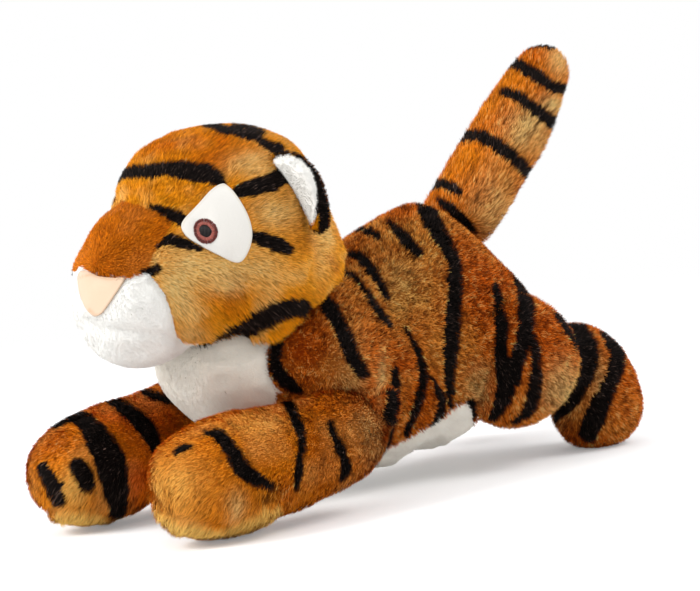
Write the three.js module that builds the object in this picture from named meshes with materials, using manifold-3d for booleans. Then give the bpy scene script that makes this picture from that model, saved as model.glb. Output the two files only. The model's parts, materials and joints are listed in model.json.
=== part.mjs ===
// A lying plush tiger: stuffed forms under sewn plush panels. Head, legs, tail and ears flex at their seams.
// Lengths are in millimetres. The tiger looks towards -Y, its left side is +X and the floor is at Z = 0.
import * as THREE from 'three';
import { mergeVertices } from 'three/addons/utils/BufferGeometryUtils.js';
import Module from 'manifold-3d';

const wasm = await Module();
wasm.setup();

// Fits and cloth
const seamGap = 0.3; // left between pieces that touch
const plushThickness = 2; // backing with its pressed pile
const feltThickness = 1; // eye patches
const threadThickness = 0.6; // embroidered rings
const suedeThickness = 1.2; // nose patch
const flatDepth = 0.5; // how deep a resting form is cut flat
const swingClearance = 1; // kept between pieces that move past each other
const cuttingReach = 400; // how far a cutting block reaches past the toy
const curveSteps = 6; // straight pieces along each curve of a drawn outline

// Trunk, from the chest to the rump
const trunk = {
  front: -110,
  rear: 117,
  halfWidth: 50,
  halfHeight: 58,
  middleZ: 70,
  bluntness: 2.5,
  ringCount: 16,
  sideCount: 26,
};
// Each row: place along the form, lift of its middle, half width and half height
const trunkShares = [
  [0, 0.08, 0.86, 0.8],
  [0.22, -0.06, 0.96, 0.88],
  [0.48, -0.035, 1, 1.075],
  [0.68, 0.18, 1.01, 0.97],
  [0.85, 0.08, 0.92, 0.8],
  [1, -0.08, 0.82, 0.66],
];
const chestPanel = { halfWidth: 34, bottom: 30, top: 110, rear: -62 };
const bellyPanel = { halfWidth: 36, front: -86, rear: 86, top: 62 };

// Head, from the jaw to the crown
const skull = {
  middleY: -72,
  bottom: 80,
  top: 188,
  halfWidth: 57,
  halfLength: 51,
  bluntness: 2.25,
  ringCount: 14,
  sideCount: 24,
};
const skullShares = [
  [0, -0.1, 0.92, 0.9],
  [0.3, -0.04, 1.04, 1],
  [0.55, 0.03, 1, 1.03],
  [0.8, 0.1, 0.95, 1.02],
  [1, 0.14, 0.92, 1],
];
const muzzle = {
  rear: -84,
  front: -156,
  middleZ: 114,
  halfWidth: 37,
  halfHeight: 34,
  bluntness: 3.2,
  ringCount: 10,
  sideCount: 20,
};
const muzzleShares = [
  [0, 0.36, 1.14, 1.3],
  [0.45, 0.26, 1.08, 1.24],
  [0.7, 0.08, 1.04, 1.1],
  [1, -0.1, 0.96, 0.84],
];
const muzzlePad = { rear: -135, middleZ: 114, leanShare: 0.25, top: 127, bottom: 92 };
const bridgePanel = { noseHalfWidth: 21, browHalfWidth: 25, noseY: -166, browY: -124 };
const foreheadPanel = { frontHalfWidth: 27, rearHalfWidth: 36, rear: -52 };
const napePanel = { front: -58 };
const chinPanel = { top: 94, halfWidth: 38, rear: -98 };
const nosePatch = { topHalfWidth: 18, top: 127, bottom: 106, cornerRadius: 3 };

// Eyes: a leaf of felt with its iris at the origin of the leaf's own plane
const eye = {
  middle: [38, -113.5, 141],
  outwardTurn: 47, // degrees from straight ahead
  leafWidth: 31.5,
  leafHeight: 36.7,
  irisRadius: 6.2,
  pupilRadius: 3.1,
  sinkDepth: 30,
};
// Leaf outline: the corners and the swell between them, across and up
const leafShares = [
  [-0.33, 0.08],
  [0.27, 0.58],
  [0.67, 0.05],
  [0.51, -0.42],
];

// Ears: a half-moon plate, its straight side along the seam
const ear = {
  seamTop: [45, -76, 174],
  seamBottom: [54, -64, 137],
  reach: 26,
  backThickness: 4,
  frontThickness: 2.5,
  frontInset: 3,
  root: 9,
  foldRange: 18,
};
// Ear outline from the low end of the seam to its top end: how far out, and how far along the seam
const earShares = [
  [0, -1],
  [0.55, -0.73],
  [0.84, -0.11],
  [0.84, 0.56],
  [0.55, 0.98],
  [0, 1],
];

// Front legs, from the shoulder to the toes
const frontLeg = {
  shoulder: [55, -40, 47],
  elbow: [52, -86, 36.5],
  toes: [47, -164, 31.5],
  halfWidth: 26,
  halfHeight: 27,
  bluntness: 2.9,
  ringCount: 12,
  sideCount: 18,
  soleHeight: 7,
  soleRear: -104,
  seamRadius: 13,
  raise: 8,
  lower: 15,
};
const frontLegShares = [
  [0, 0, 0.98, 1.06],
  [0.36, 0.05, 0.92, 0.92],
  [0.72, -0.03, 1.1, 1.12],
  [1, 0, 1.15, 1.1],
];

// Hind legs: a thigh along the flank and an upright foot behind it
const thigh = {
  hip: [40, 40, 68],
  knee: [44, 76, 52],
  heel: [43, 99, 44],
  halfWidth: 27,
  halfHeight: 37,
  bluntness: 2.4,
  ringCount: 10,
  sideCount: 18,
  seamRadius: 14,
  restLift: { left: 0, right: 11 }, // the right leg rests a little higher
  raise: 15,
  lower: 15,
};
const thighShares = [
  [0, 0, 0.92, 1.02],
  [0.5, 0, 1.02, 1.0],
  [1, 0, 0.94, 0.8],
];
const foot = {
  top: [38, 111, 67],
  ankle: [41, 121, 34],
  toes: [42, 125, -flatDepth],
  halfWidth: 24,
  halfHeight: 26,
  bluntness: 2.5,
  ringCount: 10,
  sideCount: 16,
};
const footShares = [
  [0, 0, 0.9, 0.84],
  [0.4, -0.06, 1, 0.93],
  [1, 0, 1.06, 1.1],
];

// Tail, from inside the rump to the tip
const tail = {
  root: [0, 60, 108],
  seam: [0, 77, 124],
  seamRadius: 12,
  bend: [0, 106, 152],
  tip: [0, 159, 206],
  halfWidth: 19,
  halfHeight: 19,
  bluntness: 4,
  ringCount: 10,
  sideCount: 16,
  swing: 20,
};
const tailShares = [
  [0, 0, 1.06, 1.06],
  [0.5, 0, 1.04, 1.04],
  [1, 0, 0.88, 0.88],
];

// Neck: a ball of filling that the head turns and nods on
const neck = {
  middle: [0, -60, 98],
  radius: 24,
  ringCount: 10,
  sideCount: 18,
  turn: 18,
  nodDown: 8,
  nodUp: 10,
};

// Finishes
const finishes = {
  filling: { color: 0xf2f0ea, roughness: 1, metalness: 0 },
  goldPlush: { color: 0xb9742e, roughness: 0.95, metalness: 0 },
  bridgePlush: { color: 0xa85f1c, roughness: 0.9, metalness: 0 },
  whitePlush: { color: 0xf3ece0, roughness: 0.95, metalness: 0 },
  palePlush: { color: 0xcf9a58, roughness: 0.95, metalness: 0 },
  noseSuede: { color: 0xf6dcbe, roughness: 0.8, metalness: 0 },
  felt: { color: 0xf7f6f2, roughness: 0.9, metalness: 0 },
  irisThread: { color: 0x8a4a48, roughness: 0.6, metalness: 0 },
  pupilThread: { color: 0x1a1414, roughness: 0.55, metalness: 0 },
};

const toy = new THREE.Group();
const toRadians = THREE.MathUtils.degToRad;
const at = (place) => new THREE.Vector3(...place);
const mirrored = ([x, y, z], side) => [x * side, y, z];
const onSide = (side) => (place) => mirrored(place, side);

// A closed solid from a geometry, and the way back
function solidOf(geometry) {
  const bare = geometry.clone();
  bare.deleteAttribute('normal');
  bare.deleteAttribute('uv');
  const merged = mergeVertices(bare);
  const mesh = new wasm.Mesh({
    numProp: 3,
    vertProperties: new Float32Array(merged.attributes.position.array),
    triVerts: new Uint32Array(merged.index.array),
  });
  return new wasm.Manifold(mesh);
}

function addPiece(name, solid, finish) {
  const { vertProperties, triVerts, numProp } = solid.getMesh();
  if (numProp !== 3) throw new Error(`${name} has more than places`);
  const geometry = new THREE.BufferGeometry();
  geometry.setAttribute('position', new THREE.BufferAttribute(vertProperties, 3));
  geometry.setIndex(new THREE.BufferAttribute(triVerts, 1));
  geometry.computeVertexNormals();
  const piece = new THREE.Mesh(geometry, new THREE.MeshStandardMaterial(finishes[finish]));
  piece.name = name;
  toy.add(piece);
  return piece;
}

// The value of a share column at a place along the form, eased between rows
function shareAt(shares, along, column) {
  let row = 0;
  while (row < shares.length - 2 && along > shares[row + 1][0]) row += 1;
  const [from, to] = [shares[row], shares[row + 1]];
  const part = (along - from[0]) / (to[0] - from[0]);
  const eased = part * part * (3 - 2 * part);
  return from[column] + (to[column] - from[column]) * eased;
}

// A stuffed form swells and tapers along its path and has round ends
function stuffedForm({ path, side, size, shares, grow = 0 }) {
  const { halfWidth, halfHeight, bluntness, ringCount, sideCount } = size;
  const places = [];
  for (let ring = 0; ring <= ringCount; ring += 1) {
    const end = -Math.cos((Math.PI * ring) / ringCount);
    const along = (end + 1) / 2;
    const swell = (1 - Math.abs(end) ** bluntness) ** (1 / bluntness);
    const added = grow * Math.sqrt(1 - end * end);
    const ahead = path.getTangentAt(along);
    const across = side.clone().addScaledVector(ahead, -side.dot(ahead)).normalize();
    const up = new THREE.Vector3().crossVectors(across, ahead);
    const middle = path.getPointAt(along).addScaledVector(ahead, end * grow);
    middle.addScaledVector(up, shareAt(shares, along, 1) * halfHeight);
    const wide = shareAt(shares, along, 2) * halfWidth * swell + added;
    const tall = shareAt(shares, along, 3) * halfHeight * swell + added;
    const isPole = ring === 0 || ring === ringCount;
    for (let step = 0; step < (isPole ? 1 : sideCount); step += 1) {
      const turn = (2 * Math.PI * step) / sideCount;
      const place = isPole ? middle : middle.clone().addScaledVector(across, wide * Math.cos(turn));
      places.push(isPole ? place : place.addScaledVector(up, tall * Math.sin(turn)));
    }
  }
  const geometry = new THREE.BufferGeometry().setFromPoints(places);
  geometry.setIndex(ringFaces(ringCount, sideCount));
  return solidOf(geometry);
}

// Triangles of a form whose first and last rings are single points
function ringFaces(ringCount, sideCount) {
  const faces = [];
  const last = 1 + (ringCount - 1) * sideCount;
  for (let step = 0; step < sideCount; step += 1) {
    const next = (step + 1) % sideCount;
    faces.push(0, 1 + step, 1 + next);
    faces.push(last, last - sideCount + next, last - sideCount + step);
    for (let ring = 0; ring < ringCount - 2; ring += 1) {
      const near = 1 + ring * sideCount;
      const far = near + sideCount;
      faces.push(near + step, far + step, far + next);
      faces.push(near + step, far + next, near + next);
    }
  }
  return faces;
}

const sideways = new THREE.Vector3(1, 0, 0);
const upward = new THREE.Vector3(0, 0, 1);
const downward = new THREE.Vector3(0, 0, -1);
const forward = new THREE.Vector3(0, -1, 0);
const rearward = new THREE.Vector3(0, 1, 0);
const straight = (from, to) => new THREE.LineCurve3(at(from), at(to));
const bent = (...places) => new THREE.CatmullRomCurve3(places.map(at), false, 'centripetal');

// The half of space on one side of a plane, as a block
function beyond(place, direction) {
  const block = new THREE.BoxGeometry(cuttingReach, cuttingReach, cuttingReach);
  block.translate(0, 0, cuttingReach / 2);
  block.applyQuaternion(new THREE.Quaternion().setFromUnitVectors(upward, direction.clone().normalize()));
  block.translate(place.x, place.y, place.z);
  return solidOf(block);
}

// A prism of an outline drawn on a plane, reaching both ways from it unless told otherwise
function prism(outline, plane) {
  const { place = new THREE.Vector3(), across, up, front = cuttingReach, back = cuttingReach } = plane;
  const options = { depth: front + back, bevelEnabled: false, curveSegments: curveSteps };
  const geometry = new THREE.ExtrudeGeometry(outline, options);
  geometry.translate(0, 0, -back);
  const outward = new THREE.Vector3().crossVectors(across, up);
  geometry.applyMatrix4(new THREE.Matrix4().makeBasis(across, up, outward).setPosition(place));
  return solidOf(geometry);
}

const onFront = { across: sideways, up: upward }; // outward is -Y
const onTop = { across: sideways, up: rearward }; // outward is +Z

// Copies of a solid turned about a joint, as the other side of the joint sees it over the range
function sweptPast(solid, { pivot, axis, from, to, copies = 5 }) {
  let swept;
  for (let copy = 0; copy < copies; copy += 1) {
    const angle = -(from + ((to - from) * copy) / (copies - 1));
    const turned = solid.transform(turnAbout(pivot, axis, angle).elements);
    swept = swept ? swept.add(turned) : turned;
  }
  return swept;
}

function turnAbout(pivot, axis, degrees) {
  const turn = new THREE.Matrix4().makeRotationAxis(axis.clone().normalize(), toRadians(degrees));
  const back = new THREE.Matrix4().makeTranslation(-pivot.x, -pivot.y, -pivot.z);
  return new THREE.Matrix4().makeTranslation(pivot.x, pivot.y, pivot.z).multiply(turn).multiply(back);
}

// Trunk
function trunkForm(grow) {
  const path = straight([0, trunk.front, trunk.middleZ], [0, trunk.rear, trunk.middleZ]);
  return stuffedForm({ path, side: sideways, size: trunk, shares: trunkShares, grow });
}
const trunkKeepOut = trunkForm(swingClearance * 2);

function leafOutline(halfWidth, front, rear) {
  const outline = new THREE.Shape();
  const middle = (front + rear) / 2;
  outline.moveTo(0, front);
  outline.quadraticCurveTo(halfWidth, front, halfWidth, middle);
  outline.quadraticCurveTo(halfWidth, rear, 0, rear);
  outline.quadraticCurveTo(-halfWidth, rear, -halfWidth, middle);
  outline.quadraticCurveTo(-halfWidth, front, 0, front);
  return outline;
}

// Hollows for the neck and for the round seams that the limbs swing on
function sockets() {
  const round = ({ pivot, radius }) => ballAt(pivot.toArray(), radius + seamGap);
  const seams = [tailJoint(), ...[1, -1].flatMap((side) => [shoulderJoint(side), hipJoint(side)])];
  const neckSocket = ballAt(neck.middle, neck.radius + swingClearance);
  return seams.reduce((solid, seam) => solid.add(round(seam)), neckSocket);
}

function addTrunk() {
  const socket = sockets();
  const cover = trunkForm(0).subtract(trunkForm(-plushThickness)).subtract(socket);
  const filling = trunkForm(-plushThickness - seamGap).subtract(socket);
  const frontOnly = (grow) => beyond(new THREE.Vector3(0, chestPanel.rear + grow, 0), forward);
  const lowOnly = (grow) => beyond(new THREE.Vector3(0, 0, bellyPanel.top + grow), downward);
  const chest = (grow) => {
    const outline = leafOutline(chestPanel.halfWidth + grow, chestPanel.bottom - grow, chestPanel.top + grow);
    return prism(outline, onFront).intersect(frontOnly(grow));
  };
  const belly = (grow) => {
    const outline = leafOutline(bellyPanel.halfWidth + grow, bellyPanel.front - grow, bellyPanel.rear + grow);
    return prism(outline, onTop).intersect(lowOnly(grow));
  };
  addPiece('trunk_filling', filling, 'filling');
  addPiece('chest_panel', cover.intersect(chest(0)), 'whitePlush');
  addPiece('belly_panel', cover.intersect(belly(0)).subtract(chest(seamGap)), 'whitePlush');
  const back = cover.subtract(chest(seamGap)).subtract(belly(seamGap));
  for (const side of [1, -1]) {
    const half = beyond(new THREE.Vector3((side * seamGap) / 2, 0, 0), new THREE.Vector3(side, 0, 0));
    addPiece(`back_panel_${sideName(side)}`, back.intersect(half), 'goldPlush');
  }
}

function sideName(side) {
  return side > 0 ? 'left' : 'right';
}

function seamBall({ pivot, radius }) {
  return ballAt(pivot.toArray(), radius);
}

function ballAt(place, radius) {
  const ball = new THREE.SphereGeometry(radius, neck.sideCount, neck.ringCount);
  ball.translate(...place);
  return solidOf(ball);
}

// Head
function headForm(grow) {
  const skullPath = straight([0, skull.middleY, skull.bottom], [0, skull.middleY, skull.top]);
  const skullSize = { ...skull, halfHeight: skull.halfLength };
  const round = stuffedForm({ path: skullPath, side: sideways, size: skullSize, shares: skullShares, grow });
  const muzzlePath = straight([0, muzzle.rear, muzzle.middleZ], [0, muzzle.front, muzzle.middleZ]);
  const snout = stuffedForm({
    path: muzzlePath,
    side: sideways.clone().negate(),
    size: muzzle,
    shares: muzzleShares,
    grow,
  });
  return round.add(snout);
}

// What the trunk sweeps through as the head turns and nods, seen from the head
function neckSweep() {
  const pivot = at(neck.middle);
  const nod = { pivot, axis: sideways, from: -neck.nodUp, to: neck.nodDown, copies: 3 };
  const turn = { pivot, axis: upward, from: -neck.turn, to: neck.turn, copies: 3 };
  return sweptPast(sweptPast(trunkKeepOut, turn), nod).add(ballAt(neck.middle, neck.radius + swingClearance));
}

function addHead() {
  const clear = neckSweep();
  const outer = headForm(0).subtract(clear);
  const cover = outer.subtract(headForm(-plushThickness));
  addPiece('head_filling', headForm(-plushThickness - seamGap).subtract(clear), 'filling');
  addPiece('neck_filling', ballAt(neck.middle, neck.radius), 'filling');

  const bridge = (grow) => {
    const outline = new THREE.Shape();
    outline.moveTo(-bridgePanel.noseHalfWidth - grow, bridgePanel.noseY);
    outline.lineTo(bridgePanel.noseHalfWidth + grow, bridgePanel.noseY);
    outline.lineTo(bridgePanel.browHalfWidth + grow, bridgePanel.browY + grow);
    outline.lineTo(-bridgePanel.browHalfWidth - grow, bridgePanel.browY + grow);
    const above = beyond(new THREE.Vector3(0, 0, muzzlePad.top - grow), upward);
    return prism(outline, onTop).intersect(above);
  };
  const pads = (grow) => {
    const rear = new THREE.Vector3(0, muzzlePad.rear + grow, muzzlePad.middleZ);
    const low = beyond(new THREE.Vector3(0, 0, muzzlePad.bottom - grow), upward);
    const high = beyond(new THREE.Vector3(0, 0, muzzlePad.top + grow), downward);
    return beyond(rear, new THREE.Vector3(0, -1, -muzzlePad.leanShare)).intersect(low).intersect(high);
  };
  const chin = (grow) => {
    const low = beyond(new THREE.Vector3(0, 0, chinPanel.top + grow), downward);
    const left = beyond(new THREE.Vector3(chinPanel.halfWidth + grow, 0, 0), sideways.clone().negate());
    const right = beyond(new THREE.Vector3(-chinPanel.halfWidth - grow, 0, 0), sideways);
    const front = beyond(new THREE.Vector3(0, chinPanel.rear + grow, 0), forward);
    return low.intersect(left).intersect(right).intersect(front);
  };
  const nape = (grow) => beyond(new THREE.Vector3(0, napePanel.front - grow, 0), rearward);
  const forehead = (grow) => {
    const outline = new THREE.Shape();
    outline.moveTo(-foreheadPanel.frontHalfWidth - grow, muzzle.front);
    outline.lineTo(foreheadPanel.frontHalfWidth + grow, muzzle.front);
    outline.lineTo(foreheadPanel.rearHalfWidth + grow, foreheadPanel.rear);
    outline.lineTo(-foreheadPanel.rearHalfWidth - grow, foreheadPanel.rear);
    const above = beyond(new THREE.Vector3(0, 0, eye.middle[2] - grow), upward);
    return prism(outline, onTop).intersect(above);
  };
  addPiece('bridge_panel', cover.intersect(bridge(0)), 'bridgePlush');
  const afterBridge = cover.subtract(bridge(seamGap));
  const muzzleWhite = afterBridge.intersect(pads(0));
  const afterMuzzle = afterBridge.subtract(pads(seamGap));
  addPiece('chin_gusset', afterMuzzle.intersect(chin(0)), 'whitePlush');
  const afterChin = afterMuzzle.subtract(chin(seamGap));
  addPiece('back_of_head_panel', afterChin.intersect(nape(0)), 'goldPlush');
  const afterNape = afterChin.subtract(nape(seamGap));
  addPiece('forehead_panel', afterNape.intersect(forehead(0)), 'goldPlush');
  const cheeks = afterNape.subtract(forehead(seamGap));
  for (const side of [1, -1]) {
    const half = beyond(new THREE.Vector3((side * seamGap) / 2, 0, 0), new THREE.Vector3(side, 0, 0));
    addPiece(`muzzle_pad_${sideName(side)}`, muzzleWhite.intersect(half), 'whitePlush');
    addPiece(`cheek_panel_${sideName(side)}`, cheeks.intersect(half), 'goldPlush');
  }
}

// A patch lies on the head between two heights over its cover
function patchOn(outline, plane, low, high) {
  const layer = headForm(high).subtract(headForm(low));
  return prism(outline, plane).intersect(layer);
}

function addNose() {
  const { topHalfWidth, top, bottom, cornerRadius } = nosePatch;
  const outline = new THREE.Shape();
  outline.moveTo(-topHalfWidth + cornerRadius, top);
  outline.lineTo(topHalfWidth - cornerRadius, top);
  outline.quadraticCurveTo(topHalfWidth, top, topHalfWidth - cornerRadius / 2, top - cornerRadius);
  outline.quadraticCurveTo(cornerRadius, bottom, 0, bottom);
  outline.quadraticCurveTo(-cornerRadius, bottom, -topHalfWidth + cornerRadius / 2, top - cornerRadius);
  outline.quadraticCurveTo(-topHalfWidth, top, -topHalfWidth + cornerRadius, top);
  const plane = { ...onFront, back: muzzle.rear };
  addPiece('nose', patchOn(outline, plane, seamGap, seamGap + suedeThickness), 'noseSuede');
}

function addEye(side) {
  const turn = toRadians(eye.outwardTurn);
  const across = new THREE.Vector3(Math.cos(turn), side * Math.sin(turn), 0);
  const place = at(mirrored(eye.middle, side));
  const plane = { place, across, up: upward, front: eye.sinkDepth, back: eye.sinkDepth };
  const leaf = new THREE.Shape();
  const corner = ([x, y]) => new THREE.Vector2(side * x * eye.leafWidth, y * eye.leafHeight);
  const corners = leafShares.map(corner);
  const edge = new THREE.SplineCurve([...corners, corners[0]]);
  leaf.setFromPoints(edge.getPoints(leafShares.length * curveSteps));
  const disc = (radius) => new THREE.Shape().absarc(0, 0, radius, 0, 2 * Math.PI);
  const feltTop = seamGap + feltThickness;
  const threadLow = feltTop + seamGap;
  const threadTop = threadLow + threadThickness;
  const patch = patchOn(leaf, plane, seamGap, feltTop);
  const pupil = patchOn(disc(eye.pupilRadius), plane, threadLow, threadTop);
  const hole = prism(disc(eye.pupilRadius + seamGap), plane);
  const iris = patchOn(disc(eye.irisRadius), plane, threadLow, threadTop).subtract(hole);
  addPiece(`eye_patch_${sideName(side)}`, patch, 'felt');
  addPiece(`iris_${sideName(side)}`, iris, 'irisThread');
  addPiece(`pupil_${sideName(side)}`, pupil, 'pupilThread');
}

// Ears
function earJoint(side) {
  const top = at(mirrored(ear.seamTop, side));
  const bottom = at(mirrored(ear.seamBottom, side));
  const pivot = top.clone().add(bottom).multiplyScalar(0.5);
  return { pivot, axis: top.clone().sub(bottom).normalize(), length: top.distanceTo(bottom) };
}

function addEar(side) {
  const { pivot, axis, length } = earJoint(side);
  const across = sideways.clone().addScaledVector(axis, -axis.x).normalize();
  const plane = { place: pivot, across, up: axis };
  const halfMoon = (reach, halfLength) => {
    const edgeAt = ([out, along]) => new THREE.Vector2(side * out * reach, along * halfLength);
    const edge = earShares.map(edgeAt);
    const outline = new THREE.Shape(new THREE.SplineCurve(edge).getPoints(earShares.length * curveSteps));
    outline.lineTo(-side * ear.root, halfLength);
    outline.lineTo(-side * ear.root, -halfLength);
    return outline;
  };
  const fold = { pivot, axis, from: -ear.foldRange, to: ear.foldRange };
  const clear = sweptPast(headForm(swingClearance), fold);
  const whole = halfMoon(ear.reach, length / 2);
  const inset = halfMoon(ear.reach - ear.frontInset, length / 2 - ear.frontInset);
  const back = prism(whole, { ...plane, front: 0, back: ear.backThickness });
  const front = prism(inset, { ...plane, front: seamGap + ear.frontThickness, back: -seamGap });
  addPiece(`ear_back_${sideName(side)}`, back.subtract(clear), 'goldPlush');
  addPiece(`ear_front_${sideName(side)}`, front.subtract(clear), 'whitePlush');
}

// A resting form is set down so that its lowest part is cut flat by the floor
function setDown(form) {
  const lowered = form.translate([0, 0, -flatDepth - form.boundingBox().min[2]]);
  return lowered.subtract(beyond(new THREE.Vector3(), downward));
}

// Front legs
function shoulderJoint(side) {
  return { pivot: at(mirrored(frontLeg.shoulder, side)), axis: sideways, radius: frontLeg.seamRadius };
}

function frontLegForm(side, grow = 0) {
  const path = bent(...[frontLeg.shoulder, frontLeg.elbow, frontLeg.toes].map(onSide(side)));
  return stuffedForm({ path, side: sideways.clone().negate(), size: frontLeg, shares: frontLegShares, grow });
}

function addFrontLeg(side) {
  const swing = { ...shoulderJoint(side), from: -frontLeg.raise, to: frontLeg.lower };
  const form = setDown(frontLegForm(side)).subtract(sweptPast(trunkKeepOut, swing)).add(seamBall(swing));
  const soleBlock = (grow) => {
    const low = beyond(new THREE.Vector3(0, 0, frontLeg.soleHeight + grow), downward);
    return low.intersect(beyond(new THREE.Vector3(0, frontLeg.soleRear + grow, 0), forward));
  };
  addPiece(`front_leg_${sideName(side)}`, form.subtract(soleBlock(seamGap)), 'goldPlush');
  addPiece(`front_sole_${sideName(side)}`, form.intersect(soleBlock(0)), 'palePlush');
}

// Hind legs
function hipJoint(side) {
  return { pivot: at(mirrored(thigh.hip, side)), axis: sideways, radius: thigh.seamRadius };
}

function thighForm(side) {
  const path = bent(...[thigh.hip, thigh.knee, thigh.heel].map(onSide(side)));
  return stuffedForm({ path, side: sideways, size: thigh, shares: thighShares });
}

function footForm(side, grow = 0) {
  const path = bent(...[foot.top, foot.ankle, foot.toes].map(onSide(side)));
  return stuffedForm({ path, side: sideways, size: foot, shares: footShares, grow });
}

function addHindLeg(side) {
  const swing = { ...hipJoint(side), from: -thigh.lower, to: thigh.raise };
  const lift = turnAbout(swing.pivot, sideways, thigh.restLift[sideName(side)]).elements;
  const clear = sweptPast(trunkKeepOut, swing);
  const upper = thighForm(side).subtract(footForm(side, seamGap)).transform(lift);
  const lower = setDown(footForm(side)).transform(lift);
  addPiece(`thigh_${sideName(side)}`, upper.subtract(clear).add(seamBall(swing)), 'goldPlush');
  addPiece(`hind_foot_${sideName(side)}`, lower.subtract(clear), 'goldPlush');
}

// Tail
function tailJoint() {
  const axis = at(tail.tip).sub(at(tail.root)).cross(sideways).normalize();
  return { pivot: at(tail.seam), axis, radius: tail.seamRadius };
}

function addTail() {
  const path = bent(tail.root, tail.bend, tail.tip);
  const form = stuffedForm({ path, side: sideways, size: tail, shares: tailShares });
  const swing = { ...tailJoint(), from: -tail.swing, to: tail.swing };
  addPiece('tail', form.subtract(sweptPast(trunkKeepOut, swing)).add(seamBall(swing)), 'goldPlush');
}

addTrunk();
addHead();
addNose();
addTail();
for (const side of [1, -1]) {
  addEye(side);
  addEar(side);
  addFrontLeg(side);
  addHindLeg(side);
}

// The origin is under the middle of the toy
const extent = new THREE.Box3().setFromObject(toy);
const middle = extent.getCenter(new THREE.Vector3());
toy.position.set(-middle.x, -middle.y, -extent.min.z);

export default toy;
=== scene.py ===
import json
import math
import bmesh
import bpy
import numpy as np
from mathutils import Matrix, Vector
from mathutils.bvhtree import BVHTree


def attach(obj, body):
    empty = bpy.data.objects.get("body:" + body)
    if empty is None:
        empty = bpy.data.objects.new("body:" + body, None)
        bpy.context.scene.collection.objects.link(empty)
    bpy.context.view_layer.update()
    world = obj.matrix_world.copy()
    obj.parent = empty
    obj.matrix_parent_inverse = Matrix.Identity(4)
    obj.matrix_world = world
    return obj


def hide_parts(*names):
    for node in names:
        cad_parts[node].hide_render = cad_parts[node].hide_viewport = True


# Lying plush tiger: skins over the stuffed forms, pile as fine mesh strands, stitched eyes.
# Lengths are in metres; places drawn on the photograph are in its pixels, 700 by 591.
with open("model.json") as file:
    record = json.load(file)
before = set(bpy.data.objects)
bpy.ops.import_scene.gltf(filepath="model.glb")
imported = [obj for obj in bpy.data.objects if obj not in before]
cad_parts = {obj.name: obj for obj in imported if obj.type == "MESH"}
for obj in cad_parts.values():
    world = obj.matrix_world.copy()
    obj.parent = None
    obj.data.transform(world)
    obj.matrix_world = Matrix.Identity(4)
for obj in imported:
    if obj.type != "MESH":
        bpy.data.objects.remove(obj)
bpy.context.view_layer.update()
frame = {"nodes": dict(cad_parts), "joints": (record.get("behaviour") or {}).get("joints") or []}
millimetre = 0.001
rng = np.random.default_rng(7)
print("stage: frame loaded")

# Camera: level toy, seen from its front left
photo = {
    "width": 700,
    "height": 591,
    "lookAt": (0.0, -0.0002, 0.0955),
    "azimuth": 50,
    "elevation": 4.6,
    "roll": 6,
    "distance": 1.3,
    "metresPerPixel": 0.0005,
    "sensorWidth": 36,
    "clip": (0.05, 20),
}


def cameraAxes():
    turn, rise, roll = (math.radians(photo[key]) for key in ("azimuth", "elevation", "roll"))
    right = np.array([math.cos(turn), math.sin(turn), 0.0])
    ahead = np.array([-math.sin(turn) * math.cos(rise), math.cos(turn) * math.cos(rise), -math.sin(rise)])
    up = np.cross(right, ahead)
    tilted = right * math.cos(roll) - up * math.sin(roll)
    return tilted, ahead, np.cross(tilted, ahead)


camRight, camAhead, camUp = cameraAxes()
camPlace = np.array(photo["lookAt"]) - camAhead * photo["distance"]
focalPixels = photo["distance"] / photo["metresPerPixel"]
middlePixel = np.array([photo["width"] / 2, photo["height"] / 2])


def toPixels(points):
    rel = np.asarray(points) - camPlace
    depth = rel @ camAhead
    across = focalPixels * (rel @ camRight) / depth
    rise = focalPixels * (rel @ camUp) / depth
    return np.stack([middlePixel[0] + across, middlePixel[1] - rise], axis=-1)


def pixelRay(pixel):
    u, v = pixel
    way = camAhead * focalPixels + camRight * (u - middlePixel[0]) - camUp * (v - middlePixel[1])
    return way / np.linalg.norm(way)


def placed(name, data):
    piece = bpy.data.objects.new(name, data)
    bpy.context.scene.collection.objects.link(piece)
    return piece


def addCamera():
    data = bpy.data.cameras.new("camera")
    data.sensor_width = photo["sensorWidth"]
    data.lens = focalPixels * data.sensor_width / photo["width"]
    data.clip_start, data.clip_end = photo["clip"]
    camera = placed("camera", data)
    axes = Matrix((camRight, camUp, -camAhead)).transposed().to_4x4()
    camera.matrix_world = Matrix.Translation(camPlace) @ axes
    bpy.context.scene.camera = camera


addCamera()

# Noise that changes smoothly over a given size; the same points give the same values
lattice = {
    "strides": (73856093, 19349663, 83492791),
    "seedStride": 2654435761,
    "stir": 1274126177,
    "most": 0xFFFFF,
}


def latticeValue(cell, seed):
    first, second, third = (cell[:, k] * lattice["strides"][k] for k in range(3))
    value = first ^ second ^ third ^ (seed * lattice["seedStride"])
    value = (value ^ (value >> 13)) * lattice["stir"]
    return ((value ^ (value >> 16)) & lattice["most"]) / lattice["most"]


def softNoise(points, size, seed):
    scaled = points / size
    low = np.floor(scaled).astype(np.int64)
    part = scaled - low
    part = part * part * (3 - 2 * part)
    total = np.zeros(len(points))
    for corner in range(8):
        step = np.array([corner & 1, (corner >> 1) & 1, (corner >> 2) & 1])
        share = np.prod(np.where(step, part, 1 - part), axis=1)
        total += share * latticeValue(low + step, seed)
    return total * 2 - 1


# Noise of several sizes in millimetres, each with its seed and weight
def patches(points, layers):
    return sum(softNoise(points, size * millimetre, seed) * weight for size, seed, weight in layers)


def mixed(first, second, share):
    share = np.clip(share, 0, 1)[..., None]
    return np.asarray(first) * (1 - share) + np.asarray(second) * share


def eased(value, low, high):
    part = np.clip((value - low) / (high - low), 0, 1)
    return part * part * (3 - 2 * part)


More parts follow.
